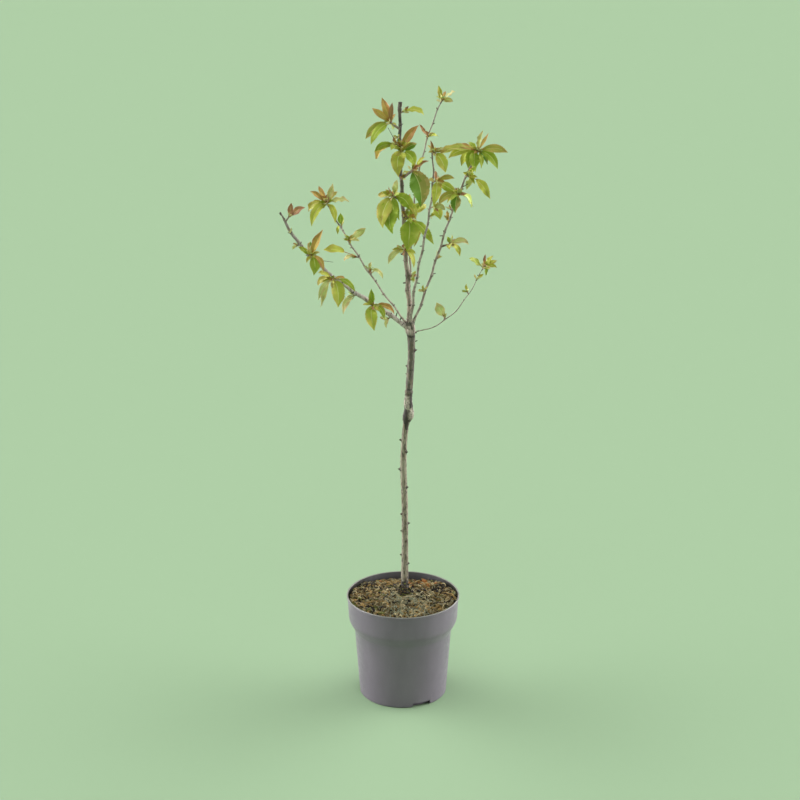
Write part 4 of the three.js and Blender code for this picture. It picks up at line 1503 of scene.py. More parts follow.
SPURS: dict[str, tuple[Spur, ...]] = {
    "low_left": (
        spur(0.94, (60, 9, 0.2), (72, 34, ROSE, True, 0.1, 0.85), (40, 41, ROSE, True, 0.1, 0.85)),
        spur(0.78, (175, 4, 0.2), (171, 14, COPPER), (120, 10, LIME)),
        spur(0.69, (40, 7, 0.8), (69, 48, COPPER), (95, 30, DEEP), (137, 27, GREEN), (280, 34, GREEN, True),
             (310, 34, COPPER)),
        spur(0.5, (250, 6, 0.7), (160, 31, LIME), (204, 36, BRONZE), (233, 48, PALE, False, 0.13, 0.75),
             (247, 60, PALE, False, 0.2, 0.5), (274, 51, LIME, True), (5, 16, COPPER),
             (325, 40, GREEN, False, 0.2, 0.8)),
        spur(0.34, (225, 4, -0.3), (232, 43, PALE), (180, 16, GREEN)),
        spur(0.23, (300, 6, 0.8), (99, 29, GREEN), (270, 45, LIME, True), (173, 20, LIME), (305, 30, GREEN),
             (339, 38, COPPER)),
        spur(0.11, (250, 4, 0.2), (242, 24, PALE)),
    ),
    "upper_left": (
        spur(0.96, (110, 6, 0.7), (140, 39, COPPER), (115, 39, COPPER), (77, 38, PALE), (60, 32, BRONZE),
             (11, 37, PALE), (200, 39, BRONZE), (232, 47, LIME), (292, 34, LIME)),
        spur(0.77, (90, 4, -0.4), (92, 26, GREEN), (240, 13, LIME)),
        spur(0.66, (50, 5, 0.6), (41, 37, PALE, True, 0.13, 0.75), (118, 18, PALE), (11, 18, PALE)),
        spur(0.54, (165, 5, -0.3), (166, 61, LIME, False, 0.34, 1.2), (193, 29, PALE)),
        spur(0.42, (350, 4, 0.3), (338, 26, PALE), (70, 11, GREEN)),
    ),
    "leader": (
        spur(0.95, (20, 4, 0.3), (357, 41, LIME)),
        spur(0.88, (138, 22, 0.2), (143, 58, COPPER, True, 0.1, 0.7), (119, 61, COPPER, True, 0.1, 0.62),
             (106, 46, ROSE), (196, 60, BRONZE, True, 0.13, 0.7), (208, 55, GREEN)),
        spur(0.8, (50, 6, 0.5), (54, 46, COPPER, True, 0.02, 0.66), (100, 17, GREEN)),
        spur(0.8, (165, 6, 0.1), (190, 43, GREEN), (208, 49, COPPER), (120, 22, ROSE)),
        spur(0.775, (300, 5, 0.7), (266, 42, LIME, True, 0.05), (317, 34, GREEN, True),
             (30, 31, DEEP, True, 0.1, 0.8), (52, 27, LIME), (75, 24, COPPER)),
        spur(0.66, (38, 30, 0.55), (38, 54, ROSE), (305, 61, DEEP, True, 0.04), (46, 54, LIME, False, 0.4)),
        spur(0.565, (145, 16, 0.3), (102, 38, PALE), (170, 42, BRONZE), (233, 60, LIME, True, 0.13, 0.9),
             (251, 62, GREEN, True), (264, 34, GREEN), (306, 26, GREEN, True, 0.05)),
        spur(0.54, (20, 5, -0.4), (318, 30, LIME), (48, 14, LIME)),
        spur(0.475, (330, 9, 0.5), (275, 53, GREEN, True, 0.1, 1.15), (293, 52, BRONZE),
             (320, 64, GREEN, False, 0.2, 0.85), (52, 42, GREEN), (8, 22, COPPER),
             (36, 52, LIME, False, 0.13, 0.7)),
        spur(0.34, (215, 5, 0.6), (217, 38, PALE), (296, 32, LIME), (345, 17, LIME)),
        spur(0.22, (20, 4, 0.3), (49, 17, GREEN), (317, 12, GREEN)),
    ),
    "front": (
        spur(0.98, (60, 6, 0.4), (96, 24, ROSE), (306, 38, LIME, True), (28, 22, PALE)),
        spur(0.82, (0, 6, 0.4), (10, 36, BRONZE), (66, 16, COPPER), (271, 41, LIME, True, 0.1, 0.8)),
        spur(0.67, (340, 5, 0.4), (308, 27, LIME, True, 0.1, 1.3), (350, 25, PALE, True, 0.1, 1.15)),
    ),
    "back": (
        spur(1, (65, 4, 0.2), (99, 29, BRONZE), (70, 23, COPPER), (41, 29, PALE),
             (4, 20, PALE, True, 0.13, 0.8)),
        spur(0.83, (70, 5, 0.6), (118, 27, ROSE), (12, 20, LIME)),
    ),
    "right": (
        spur(0.99, (75, 10, 0.3), (179, 66, BRONZE, False, 0.13, 0.8), (186, 48, LIME, True, 0.2, 0.6),
             (155, 40, COPPER), (218, 32, LIME), (261, 24, GREEN), (117, 30, GREEN),
             (80, 42, PALE, False, 0.13, 0.8), (62, 44, COPPER, False, 0.13, 0.7), (5, 51, BRONZE),
             (326, 43, GREEN, True, 0.13, 0.7), (318, 25, DEEP), (150, 24, GREEN), (290, 24, LIME),
             (240, 27, GREEN, True), (270, 30, GREEN, True), (190, 22, DEEP)),
        spur(0.86, (0, 6, 0.5), (316, 56, LIME, False, 0.3, 1.15), (275, 23, PALE), (48, 22, GREEN)),
        spur(0.75, (220, 6, 0.8), (146, 42, GREEN, True, 0.1, 0.7), (206, 36, BRONZE, True, 0.13, 0.8),
             (264, 31, DEEP, True, 0.1, 1.1), (319, 36, GREEN, False, 0.13, 0.9), (215, 22, LIME)),
        spur(0.6, (120, 4, 0.3), (99, 20, COPPER)),
        spur(0.46, (10, 14, 0.2), (7, 47, PALE), (330, 38, LIME), (60, 20, GREEN)),
        spur(0.19, (140, 4, 0.7), (67, 14, LIME), (150, 12, GREEN)),
    ),
    "low_right": (
        spur(1, (60, 4, 0.2), (136, 31, GREEN), (80, 29, ROSE), (57, 31, LIME), (33, 31, BRONZE),
             (10, 25, LIME), (300, 14, GREEN)),
        spur(0.72, (140, 4, 0.3), (157, 12, BRONZE), (110, 9, GREEN)),
        spur(0.34, (105, 4, 0.3), (113, 33, PALE, True)),
    ),
}


@dataclass(frozen=True)
class Tuft:
    """A small tuft of young leaves straight on a bough: where it is, its bearing, and its leaves' length."""

    on: str
    at: float
    bearing: float
    length: float
    front: float = 0.0
    leaves: int = 4


def round_way(way: Point, turn: float) -> Point:
    """The direction a turn round `way`, square to it."""
    side, over = frame_along(way, UPWARD if abs(way[2]) < 0.9 else DEPTH)
    return side * math.cos(turn) + over * math.sin(turn)


def seen_way(bearing: float, to_front: float) -> Point:
    """A direction by its bearing in the crown's front plane and its share toward the viewer."""
    return on_bearing(bearing, 1 - abs(to_front)) + TOWARD_VIEWER * to_front


@dataclass
class Foliage:
    """The leaves on the boughs' spurs, placed by the frame's rule, with shoots, stalks and young leaves."""

    wood: Wood
    shoot_radii: Pair = (1.5, 1.05)
    shoot_to_limb: float = 1.2
    sideways: float = 0.5
    shoot_stray: float = 0.3
    tip_from: float = 0.97
    root_share: Pair = (0.8, 0.95)
    leaf_tilt_deg: Pair = (12, 38)
    face_tilt_deg: Pair = (10, 22)
    # Which side a leaf leans to (1 is its own, -1 the other) and how many degrees further, in the order tried
    tilt_tries: tuple[tuple[int, int], ...] = (
        (1, 0), (1, 12), (-1, 0), (-1, 12), (1, 26), (-1, 26), (1, 38), (-1, 38),
    )
    clear_stations: tuple[float, ...] = (0.1, 0.2, 0.4, 0.6, 0.8, 1.0)
    clearance: float = 1.2
    sample_spacing: float = 3
    broad_extra: float = 0.13
    depth_leaves_from: int = 3
    depth_reach: Pair = (22, 38)
    depth_turn: Pair = (-50, 50)
    depth_spread: float = 0.4
    depth_lean: float = 0.8
    open_lean: float = 0.35
    likely: tuple[Kind, ...] = (LIME, GREEN, BRONZE, LIME)
    young: tuple[Kind, ...] = (COPPER, LIME, PALE, GREEN, ROSE, LIME, BRONZE, PALE)
    coppery: tuple[Kind, ...] = (BRONZE, COPPER, ROSE)
    asides: tuple[float, ...] = (-1, -0.88, -0.62, -0.32, -0.05, 0.05, 0.32, 0.62, 0.88, 1)
    stations: int = 28
    young_stations: int = 11
    blade_thickness: float = 0.34
    stalk_radii: tuple[float, ...] = (0.95, 0.72, 0.62, 0.6, 0.62)
    # How far along the leaf the rib is measured, and its radius there
    rib_radii: tuple[Pair, ...] = (
        (0.35, 0.5), (0.5, 0.42), (0.65, 0.34), (0.8, 0.25), (0.93, 0.14),
    )
    tufts: tuple[Tuft, ...] = (
        Tuft("right", 0.38, 60, 13), Tuft("leader", 0.8, 60, 20, 0.8, 5),
        Tuft("leader", 0.84, 130, 14, 0.6, 4), Tuft("leader", 0.5, 330, 17, 0.7, 5),
        Tuft("leader", 0.66, 40, 13, 0.6, 4), Tuft("low_right", 0.88, 70, 15, 0.4),
        Tuft("leader", 0.205, 20, 12, 0.3),
        Tuft("leader", 0.74, 160, 12, 0.6, 3), Tuft("back", 0.3, 150, 12, -0.4),
        Tuft("front", 0.62, 10, 12, 0.5, 3), Tuft("upper_left", 0.4, 80, 11, 0.3, 3),
        Tuft("low_left", 0.6, 100, 12, -0.3, 3), Tuft("low_left", 0.86, 120, 12, 0.2, 3),
        Tuft("right", 0.66, 150, 12, -0.3, 3),
    )

    def __post_init__(self) -> None:
        """Measures the wood, and starts a gathering for each kind of leaf and each kind of other part."""
        self.limbs = self.wood.limbs()
        samples = self.wood.stem().samples(self.sample_spacing)
        for limb in self.limbs.values():
            samples += limb.samples(self.sample_spacing)
        self.hearts = np.array([heart for heart, _ in samples])
        self.girths = np.array([radius for _, radius in samples])
        self.blades = {kind: Gathering() for kind in Kind}
        self.stalks, self.shoots, self.scales = Gathering(), Gathering(), Gathering()

    @staticmethod
    def cad_shape(share: float) -> float:
        """Half the solid's breadth at a share of the blade, from 0 to 1."""
        return float(np.interp(share, (0, 0.3, 0.64, 1), (0, 0.9, 0.86, 0)))

    def keeps_clear(self, leaf: Leaf) -> bool:
        """Whether a leaf's midrib and both its edges keep clear of all the wood.

        Args:
            leaf: the leaf.

        Returns:
            Whether they do.
        """
        midrib = leaf.midrib()
        places = []
        for share in self.clear_stations:
            across, _ = frame_along(midrib.heading(share), leaf.facing)
            on_blade = max(0.0, (share - leaf.stalk) / (1 - leaf.stalk))
            half = leaf.breadth / 2 * leaf.blade_length() * self.cad_shape(on_blade)
            places += [midrib.at(share) + across * side * half for side in (-1, 0, 1)]
        gaps = np.linalg.norm(np.array(places)[:, None] - self.hearts[None], axis=2) - self.girths[None]
        return bool((gaps > self.clearance).all())

    def shoot_end(self, limb: Limb, growth: Spur, dice: Dice) -> Point:
        """Where a spur's shoot ends: it leaves the bough sideways, and only one at a tip carries straight on.

        Args:
            limb: the bough.
            growth: the spur.
            dice: its random numbers.

        Returns:
            The point.
        """
        bearing, length, to_front = growth.shoot
        heading = limb.heading(growth.at)
        way = seen_way(bearing, to_front + self.shoot_stray * (dice.roll() - 0.5))
        if growth.at < self.tip_from:
            way = way + heading * (self.sideways - way @ heading)
        return limb.course(growth.at) + unit(way) * (limb.radius(growth.at) + length)

    def place_leaf(self, foot: Point, shoot_tip: Point, listed: Listed, side: int, dice: Dice) -> Leaf:
        """One leaf, leant to the front or the back, by the first of a few tilts that is clear of the wood.

        Args:
            foot: where its spur is on the bough.
            shoot_tip: where the spur's shoot ends.
            listed: what the spur says of the leaf.
            side: 1 where it leans to the front, and -1 where it leans to the back.
            dice: its random numbers.

        Returns:
            The leaf.
        """
        tilt = dice.pick(*(self.face_tilt_deg if listed.face_on else self.leaf_tilt_deg))
        root = foot + (shoot_tip - foot) * dice.pick(*self.root_share)
        stray = dice.stray()
        flat = foot + on_bearing(listed.bearing, listed.reach)
        look = LOOKS[listed.kind]
        breadth = look.breadth + (self.broad_extra if listed.face_on else 0)
        leaves = []
        for turn, more in self.tilt_tries:
            lean = side * turn
            tip = flat + TOWARD_VIEWER * (lean * listed.reach * math.tan(math.radians(tilt + more)))
            lift = UPWARD * 0.8 + TOWARD_VIEWER * (0.6 * lean)
            facing = UPWARD + TOWARD_VIEWER * (0.55 * lean) + stray
            if listed.face_on:
                facing = TOWARD_VIEWER + stray * 0.5
            leaves.append(Leaf(root, tip, lift, facing, listed.kind, breadth, look.fold))
            if self.keeps_clear(leaves[-1]):
                return leaves[-1]
        return leaves[0]

    def leaves_of(self, growth: Spur, shoot_tip: Point, foot: Point, dice: Dice) -> list[Leaf]:
        """All the leaves of a spur: those listed, and on a full one some to the back and the front as well.

        Args:
            growth: the spur.
            shoot_tip: where its shoot ends.
            foot: where it is on the bough.
            dice: its leaves' random numbers.

        Returns:
            The leaves, those listed first.
        """
        leaves = []
        for index, listed in enumerate(growth.leaves):
            side = 1 if listed.face_on or index % 2 == 0 else -1
            leaves.append(self.place_leaf(foot, shoot_tip, listed, side, dice))
        if len(growth.leaves) < self.depth_leaves_from:
            return leaves
        bearing, _, to_front = growth.shoot
        for side in (-1, 1):
            if side * to_front < -self.open_lean:
                continue
            turn, reach = dice.pick(*self.depth_turn), dice.pick(*self.depth_reach)
            kind = dice.one_of(self.likely)
            listed = Listed(bearing + turn, reach * self.depth_spread, kind)
            leaf = self.place_leaf(foot, shoot_tip, listed, side, dice)
            leaf.tip = leaf.tip + TOWARD_VIEWER * (side * reach * self.depth_lean)
            leaves.append(leaf)
        return leaves

    @staticmethod
    def outline(share: float) -> float:
        """Half the blade's real breadth at a share of its length, from 0 to 1: oval, with a drawn-out tip."""
        return math.sin(math.pi * share**0.9) ** 0.75 * (1 - 0.35 * smooth_step((share - 0.72) / 0.28))

    def add_blade(self, leaf: Leaf, dice: Dice, stations: int, warmth: float = 0.0) -> None:
        """Adds a leaf's blade: a thin solid, folded along its midrib, with a toothed and waving margin.

        Args:
            leaf: the leaf.
            dice: its random numbers.
            stations: how many rows of points it has from its foot to its tip.
            warmth: how much further copper has run in than in others of its kind.
        """
        midrib, length = leaf.midrib(), leaf.blade_length()
        asides = np.array(self.asides)
        rows = len(asides)
        # One half of the blade is warmer than the other: on DEEP leaves this is painted light and shade
        # across the fold, on the rest a small random tint
        half_tint_and_shade = 0.55 if leaf.kind is DEEP else dice.pick(-0.16, 0.16)
        waves, phase, swing = dice.pick(1.4, 2.8), dice.roll(), dice.pick(0.1, 0.32)
        twist, curl = dice.pick(-0.6, 0.6), dice.pick(-0.02, 0.2)
        cup, fold = dice.pick(-0.3, 0.05), leaf.fold * dice.pick(0.6, 1.9)
        top, bottom = [], []
        for station in range(stations):
            along = station / (stations - 1)
            share = leaf.on_blade(along)
            flat, upright = frame_along(midrib.heading(min(share, 0.9999)), leaf.facing)
            turn = twist * along * along
            across = flat * math.cos(turn) + upright * math.sin(turn)
            over = upright * math.cos(turn) - flat * math.sin(turn)
            half = max(leaf.breadth / 2 * length * self.outline(along) * leaf.full, 0.16)
            wave = np.sin(2 * math.pi * (waves * along + phase + 0.25 * np.sign(asides)))
            out = asides * half
            if station % 2:
                out = out * np.where(np.abs(asides) == 1, dice.pick(0.86, 0.96), 1)
            raised = np.abs(asides) * half * fold + asides**2 * half * (cup + swing * wave)
            raised = raised - curl * length * max(0.0, along - 0.55) ** 2 * 4
            row = midrib.at(share) + np.outer(out, across) + np.outer(raised, over)
            thick = self.blade_thickness * (1 - 0.5 * np.abs(asides))
            top.append(row)
            bottom.append(row - np.outer(thick, over))
        points = np.concatenate(top + bottom)
        flush = LOOKS[leaf.kind].flush + warmth + dice.pick(-0.12, 0.12)
        faces, slots = self.blade_faces(points, stations, leaf.kind, flush, half_tint_and_shade)
        rise = np.repeat(np.linspace(0, 1, stations), rows)
        marks = np.stack([np.tile(np.abs(asides), stations), rise], axis=1)
        self.blades[leaf.kind].add(points, faces, slots, np.concatenate([marks, marks]))

    def blade_faces(
        self, points: np.ndarray, stations: int, kind: Kind, flush: float, half_tint_and_shade: float
    ) -> tuple[Faces, list[int]]:
        """The faces of a blade, each with the colour that it has flushed to.

        Args:
            points: the blade's points: the rows of its upper side, and then those of its underside.
            stations: how many rows a side has.
            kind: the leaf's kind.
            flush: how far copper has run in.
            half_tint_and_shade: how much further it has on the blade's first half than on the other; on DEEP
                leaves this is painted light and shade.

        Returns:
            The faces, and the material slot of each.
        """
        look, rows = LOOKS[kind], len(self.asides)
        lower = stations * rows
        last_step = look.blade.steps - 1
        edge = last_step - 1 if kind is DEEP else last_step
        middle = rows // 2 - 1
        faces: Faces = []
        slots: list[int] = []
        for station in range(stations - 1):
            along = (station + 0.5) / (stations - 1)
            for k in range(rows - 1):
                a = station * rows + k
                b = a + lower
                faces.append((a, a + 1, a + 1 + rows, a + rows))
                faces.append((b, b + rows, b + rows + 1, b + 1))
                aside = abs(self.asides[k] + self.asides[k + 1]) / 2
                spot = noise.noise(Vector(points[a] / 9)) * 0.22
                warm = flush + 0.5 * aside**2 + 0.32 * along**2 + spot
                warm += half_tint_and_shade if k < middle else -half_tint_and_shade
                step = min(last_step, max(0, int(warm * look.blade.steps)))
                slots.append(look.blade.RIB if k == middle and along < 0.9 else step)
                slots.append(look.blade.FLUSHED_UNDERSIDE if warm > 0.55 else look.blade.UNDERSIDE)
            a, b = station * rows + rows - 1, station * rows
            faces.append((a, a + lower, a + lower + rows, a + rows))
            faces.append((b, b + rows, b + lower + rows, b + lower))
            slots += [edge, edge]
        last = (stations - 1) * rows
        for k in range(rows - 1):
            faces.append((k + 1, k, k + lower, k + 1 + lower))
            faces.append((last + k, last + k + 1, last + k + 1 + lower, last + k + lower))
            slots += [0, last_step]
        return faces, slots

    def add_stalk(self, leaf: Leaf, dice: Dice, size: float = 1.0) -> None:
        """Adds a leaf's stalk, with the rib that carries on from it under the blade.

        Args:
            leaf: the leaf.
            dice: what says whether a green leaf has a coppery stalk.
            size: how thick it is, as a share of a grown leaf's.
        """
        midrib = leaf.midrib()
        coppery = int(leaf.kind in self.coppery or dice.roll() < 0.35)
        course = [midrib.at(leaf.stalk * step / 4) for step in range(5)]
        for share, _ in self.rib_radii:
            place = leaf.on_blade((share - 0.2) / 0.8)
            _, over = frame_along(midrib.heading(place), leaf.facing)
            course.append(midrib.at(place) - over * 0.42)
        radii = [*self.stalk_radii, *(radius for _, radius in self.rib_radii)]
        add_twig(self.stalks, course, [radius * size for radius in radii], 6, coppery)

    def add_shoot(self, foot: Point, tip: Point, limb_radius: float) -> None:
        """Adds a spur's short shoot, ringed by the scars of its earlier buds.

        Args:
            foot: where it starts.
            tip: where it ends.
            limb_radius: the radius of its bough, past which it is never much thicker.
        """
        length = float(np.linalg.norm(tip - foot))
        stout = 1 + 0.45 * smooth_step((length - 9) / 12)
        thick, slim = (min(radius * stout, limb_radius * self.shoot_to_limb) for radius in self.shoot_radii)
        steps = max(6, round(length / 0.8))
        course, radii = [], []
        for step in range(steps + 1):
            share = step / steps
            ring = 1 + (0.14 if step % 2 else -0.04) * (0 < share < 1)
            course.append(foot + (tip - foot) * share)
            radii.append(between(thick, slim, share) * ring * (1 + 0.25 * hump(share - 0.95, 0.14)))
        add_twig(self.shoots, course, radii, 9)

    def add_scales(self, form: Form, place: Point, way: Point, size: float, dice: Dice) -> None:
        """Adds the ring of bud scales that a shoot's young leaves come out of.

        Args:
            form: a scale.
            place: the shoot's end.
            way: the way it points.
            size: about how long a scale is.
            dice: their random numbers.
        """
        for index in range(5):
            out = round_way(way, index * math.tau / 5 + dice.roll())
            pointing = unit(way + out * dice.pick(0.35, 0.8))
            length = size * dice.pick(0.8, 1.2)
            scale = (length * 0.42, length * 0.3, length)
            self.scales.copy(form, place - way * 0.8 + out * 0.5, turned_to(pointing), scale, index % 2)

    def add_young(self, place: Point, way: Point, length: float, count: int, dice: Dice) -> None:
        """Adds the young leaves of a bud, folded and coppery, in a ring round the way it points.

        Args:
            place: where they come out.
            way: the way the bud points. The shorter it is, the wider they spread.
            length: about how long they are.
            count: how many there are.
            dice: their random numbers.
        """
        start = dice.pick(0, math.tau)
        for index in range(count):
            out = round_way(unit(way), start + index * 2.4 + dice.pick(-0.3, 0.3))
            reach = length * dice.pick(0.6, 1.15)
            tip = place + unit(way + out * dice.pick(0.35, 1.1)) * reach
            kind = dice.one_of(self.young)
            leaf = Leaf(place, tip, out, way - out * 0.6, kind, 0.42, dice.pick(0.4, 0.8), 0.12, 0.16, 1.1)
            self.add_blade(leaf, dice, self.young_stations, 0.05)
            self.add_stalk(leaf, dice, 0.62)

    def add_stipules(self, leaf: Leaf, dice: Dice) -> None:
        """Adds the two narrow stipules at the foot of a leaf's stalk.

        Args:
            leaf: the leaf.
            dice: their random numbers.
        """
        heading = leaf.midrib().heading(0.05)
        across, over = frame_along(heading, leaf.facing)
        start = leaf.root + heading * 1.5
        for side in (-1, 1):
            way = unit(heading + across * side * dice.pick(0.3, 0.8) + over * dice.pick(0, 0.5))
            length = dice.pick(3.5, 6)
            course = [start, start + way * length * 0.5 + over * 0.5, start + way * length]
            add_twig(self.stalks, course, [0.4, 0.32, 0.08], 5, int(dice.roll() < 0.6))

    def grow_spur(self, limb: Limb, growth: Spur, seed: int, scale: Form) -> None:
        """Grows one spur: its shoot, its leaves, and the young ones at its tip.

        Args:
            limb: the bough that it is on.
            growth: the spur.
            seed: its number among all the spurs, from 1 on.
            scale: a bud scale.
        """
        dice, own = Dice(seed), Dice(seed + 500)
        foot = limb.course(growth.at)
        shoot_tip = self.shoot_end(limb, growth, dice)
        way = unit(shoot_tip - foot)
        self.add_shoot(foot, shoot_tip, limb.radius(growth.at))
        for index, leaf in enumerate(self.leaves_of(growth, shoot_tip, foot, dice)):
            if index < len(growth.leaves):
                leaf.turn_out(growth.leaves[index], own)
            self.add_blade(leaf, own, self.stations, own.pick(-0.12, 0.14))
            self.add_stalk(leaf, own)
            if own.roll() < 0.5:
                self.add_stipules(leaf, own)
        self.add_scales(scale, shoot_tip, way, 3.4, own)
        full = len(growth.leaves) > 2
        self.add_young(shoot_tip, way, own.pick(11, 17), 5 if full else 3, own)
        if full:
            self.add_young(shoot_tip - way * 1.5, way * 0.3, own.pick(12, 19), 4, own)

    def grow_tuft(self, tuft: Tuft, seed: int, scale: Form) -> None:
        """Grows a small tuft of young leaves straight out of a bough's bud.

        Args:
            tuft: the tuft.
            seed: which random numbers it gets.
            scale: a bud scale.
        """
        limb, dice = self.limbs[tuft.on], Dice(seed)
        foot, heading = limb.course(tuft.at), limb.heading(tuft.at)
        way = seen_way(tuft.bearing, tuft.front)
        way = unit(way + heading * (self.sideways - way @ heading))
        end = foot + way * (limb.radius(tuft.at) + 2.4)
        self.add_shoot(foot, end, limb.radius(tuft.at))
        self.add_scales(scale, end, way, 3.0, dice)
        self.add_young(end, way, tuft.length, tuft.leaves, dice)

    def build(self) -> list[Piece]:
        """Grows every spur and lets the leaves stand for the frame's masses.

        Returns:
            The pieces.
        """
        scale = self.wood.bud_form()
        placed = [(self.limbs[name], growth) for name, spurs in SPURS.items() for growth in spurs]
        for seed, (limb, growth) in enumerate(placed, 1):
            self.grow_spur(limb, growth, seed, scale)
        for seed, tuft in enumerate(self.tufts, 900):
            self.grow_tuft(tuft, seed, scale)
        pieces = []
        for kind, gathering in self.blades.items():
            finish = LOOKS[kind].blade.materials(kind.value)
            pieces.append(gathering.piece(f"{kind.value}_blades", finish, 50))
        for name, gathering, colours in (
            ("leaf_stalks", self.stalks, {"stalk_green": "#8f9440", "stalk_copper": "#98633c"}),
            ("bud_scales", self.scales, {"scale_brown": "#7a6a3c", "scale_rose": "#a38c5a"}),
        ):
            finish = [MattPlant(colour).material(look) for look, colour in colours.items()]
            pieces.append(gathering.piece(name, finish, 60))
        masses = [f"{name}_leaves_{mass + 1}" for name, spurs in SPURS.items() for mass in range(len(spurs))]
        for piece in pieces:
            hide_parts(*masses)
        bark = Bark("spur_bark", "#8d7f6f", "#8d7f6f", "#5f5142", "#aca091", 4, 1.0, 0.12)
        shoots = self.shoots.piece("spur_shoots", [bark.material()], 50)
        mark_points(shoots, {"tipward": [0.5] * len(shoots.data.vertices)})
        return pieces + [shoots]


# The pot


@dataclass
class NurseryPot:
    """A round plastic nursery pot: a deep rim band, a soft shoulder, a tapered body and three drain slots."""

    height: float = 185.5
    rim_radius: float = 99.3
    lip_depth: float = 4
    lip_proud: float = 1.6
    lip_width: float = 2.2
    band_top: float = 97.6
    band_foot: float = 95.2
    band_foot_height: float = 146
    tuck: float = 1.6
    tuck_depth: float = 11
    shoulder: float = 84
    shoulder_height: float = 120
    shoulder_step: float = 5
    shoulder_rise: float = 6
    foot: float = 76.5
    foot_chamfer: float = 2
    wall: float = 2.2
    sides: int = 128
    body_rings: tuple[float, ...] = (0.0, 0.35, 0.7, 1.0)
    # How far out and up from the shoulder each of its rings is
    shoulder_rings: tuple[Pair, ...] = (
        (0.4, 1.2), (1.7, 4.5), (3.4, 8.0), (5.3, 11.5), (7.2, 15.0), (8.9, 18.5), (9.9, 21.2),
    )
    slot_size: Triple = (18, 34, 16)
    slot_turn_deg: float = 25.5
    slots: int = 3
    finishes: tuple[MouldedPolypropylene, ...] = (
        MouldedPolypropylene(),
        # The inner wall: darker plastic as painted shade, with painted shade nearer black at the left and the
        # right
        MouldedPolypropylene(
            "inner_wall_painted_shade", "#595a5a", "#616262", "#6c6b66", (0.8, 0.95), 1.2, "#2c2a20"
        ),
        # The lip's top: paler plastic as a painted highlight
        MouldedPolypropylene("lip_painted_highlight", "#7e8074", "#86887c", "#96988c", (0.4, 0.55)),
    )

    def outside(self) -> list[Pair]:
        """The outside from the underside up to the lip.

        Returns:
            A radius and a height for each ring.
        """
        top, lip = self.shoulder + 1, self.height - self.lip_depth
        heights = [between(self.foot_chamfer, self.shoulder_height, share) for share in self.body_rings]
        return [
            *zip([between(self.foot, top, share) for share in self.body_rings], heights),
            *((top + out, self.shoulder_height + rise) for out, rise in self.shoulder_rings),
            (self.band_foot + 0.1, self.band_foot_height - 2.6),
            (self.band_foot + 0.6, self.band_foot_height + 1),
            (between(self.band_foot + 0.6, self.band_top, 0.5), self.band_foot_height + 18),
            (self.band_top, lip - 0.6),
            (self.rim_radius - 0.5, lip),
            (self.rim_radius, lip + 0.8),
            (self.rim_radius, self.height - 0.7),
            (self.rim_radius - 0.5, self.height),
        ]

    def inside(self) -> list[Pair]:
        """The inside from the lip down to the floor.

        Returns:
            A radius and a height for each ring.
        """
        neck = self.shoulder + self.shoulder_step
        return [
            (self.rim_radius - self.lip_width, self.height),
            (self.rim_radius - self.lip_width - 0.4, self.height - 0.6),
            (self.rim_radius - self.lip_proud - self.wall, self.height - 9),
            (self.band_foot - self.wall, self.band_foot_height),
            (self.band_foot - self.tuck - self.wall, self.band_foot_height - self.tuck_depth),
            (neck - self.wall, self.shoulder_height + self.shoulder_rise),
            (self.shoulder - self.wall, self.shoulder_height),
            (self.foot - self.wall, self.wall + 1),
            (self.foot - self.wall - 1, self.wall),
        ]

    def build(self) -> list[Piece]:
        """Models the pot: a disc drawn up ring by ring, then in over the lip and down to its floor.

        Returns:
            The pot, as the only piece.
        """
        deselect()
        radius, height = self.foot - self.foot_chamfer, 0.0
        bpy.ops.mesh.primitive_circle_add(vertices=self.sides, radius=radius * MM, fill_type="NGON")
        pot = bpy.context.object
        pot.name = "nursery_pot"
        bpy.ops.object.mode_set(mode="EDIT")
        bpy.ops.mesh.select_all(action="SELECT")
        for next_radius, next_height in self.outside() + self.inside():
            rise = (next_height - height) * MM
            bpy.ops.mesh.extrude_region_move(TRANSFORM_OT_translate={"value": (0, 0, rise)})
            size = next_radius / radius
            bpy.ops.transform.resize(value=(size, size, 1), center_override=(0, 0, next_height * MM))
            radius, height = next_radius, next_height
        bpy.ops.mesh.select_all(action="SELECT")
        bpy.ops.mesh.normals_make_consistent(inside=False)
        bpy.ops.object.mode_set(mode="OBJECT")
        self.cut_slots(pot)
        self.dress(pot)
        shade(pot, 38)
        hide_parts("pot")
        return [pot]

    def cut_slots(self, pot: Piece) -> None:
        """Cuts the drain slots out of the corner between the wall and the underside.

        Args:
            pot: the pot.
        """
        for index in range(self.slots):
            turn = math.radians(self.slot_turn_deg + 360 / self.slots * index - 90)
            deselect()
            place = (*around(self.foot * MM, turn), 0)
            bpy.ops.mesh.primitive_cube_add(size=1, location=place, rotation=(0, 0, turn))
            cutter = bpy.context.object
            bpy.ops.transform.resize(value=tuple(side * MM for side in self.slot_size), orient_type="LOCAL")
            settle(cutter)
            modify(pot, "BOOLEAN", object=cutter, operation="DIFFERENCE", solver="EXACT")
            bpy.data.objects.remove(cutter)

    def dress(self, pot: Piece) -> None:
        """Gives the pot its plastic, with painted shade on the inside and a painted highlight on the lip.

        Args:
            pot: the pot.
        """
        pot.data.materials.clear()
        for finish in self.finishes:
            pot.data.materials.append(finish.material())
        for face in pot.data.polygons:
            radius = math.hypot(face.center.x, face.center.y) / MM
            inward = face.normal.x * face.center.x + face.normal.y * face.center.y < 0
            inside = inward and radius < self.rim_radius - self.lip_width - 0.5 and face.center.z > 10 * MM
            on_lip = face.normal.z > 0.3 and face.center.z > (self.height - 1) * MM
            # Slot 1 is the inner wall's painted shade, slot 2 the lip's painted highlight
            face.material_index = 1 if inside else 2 if on_lip else 0


# The potting mix


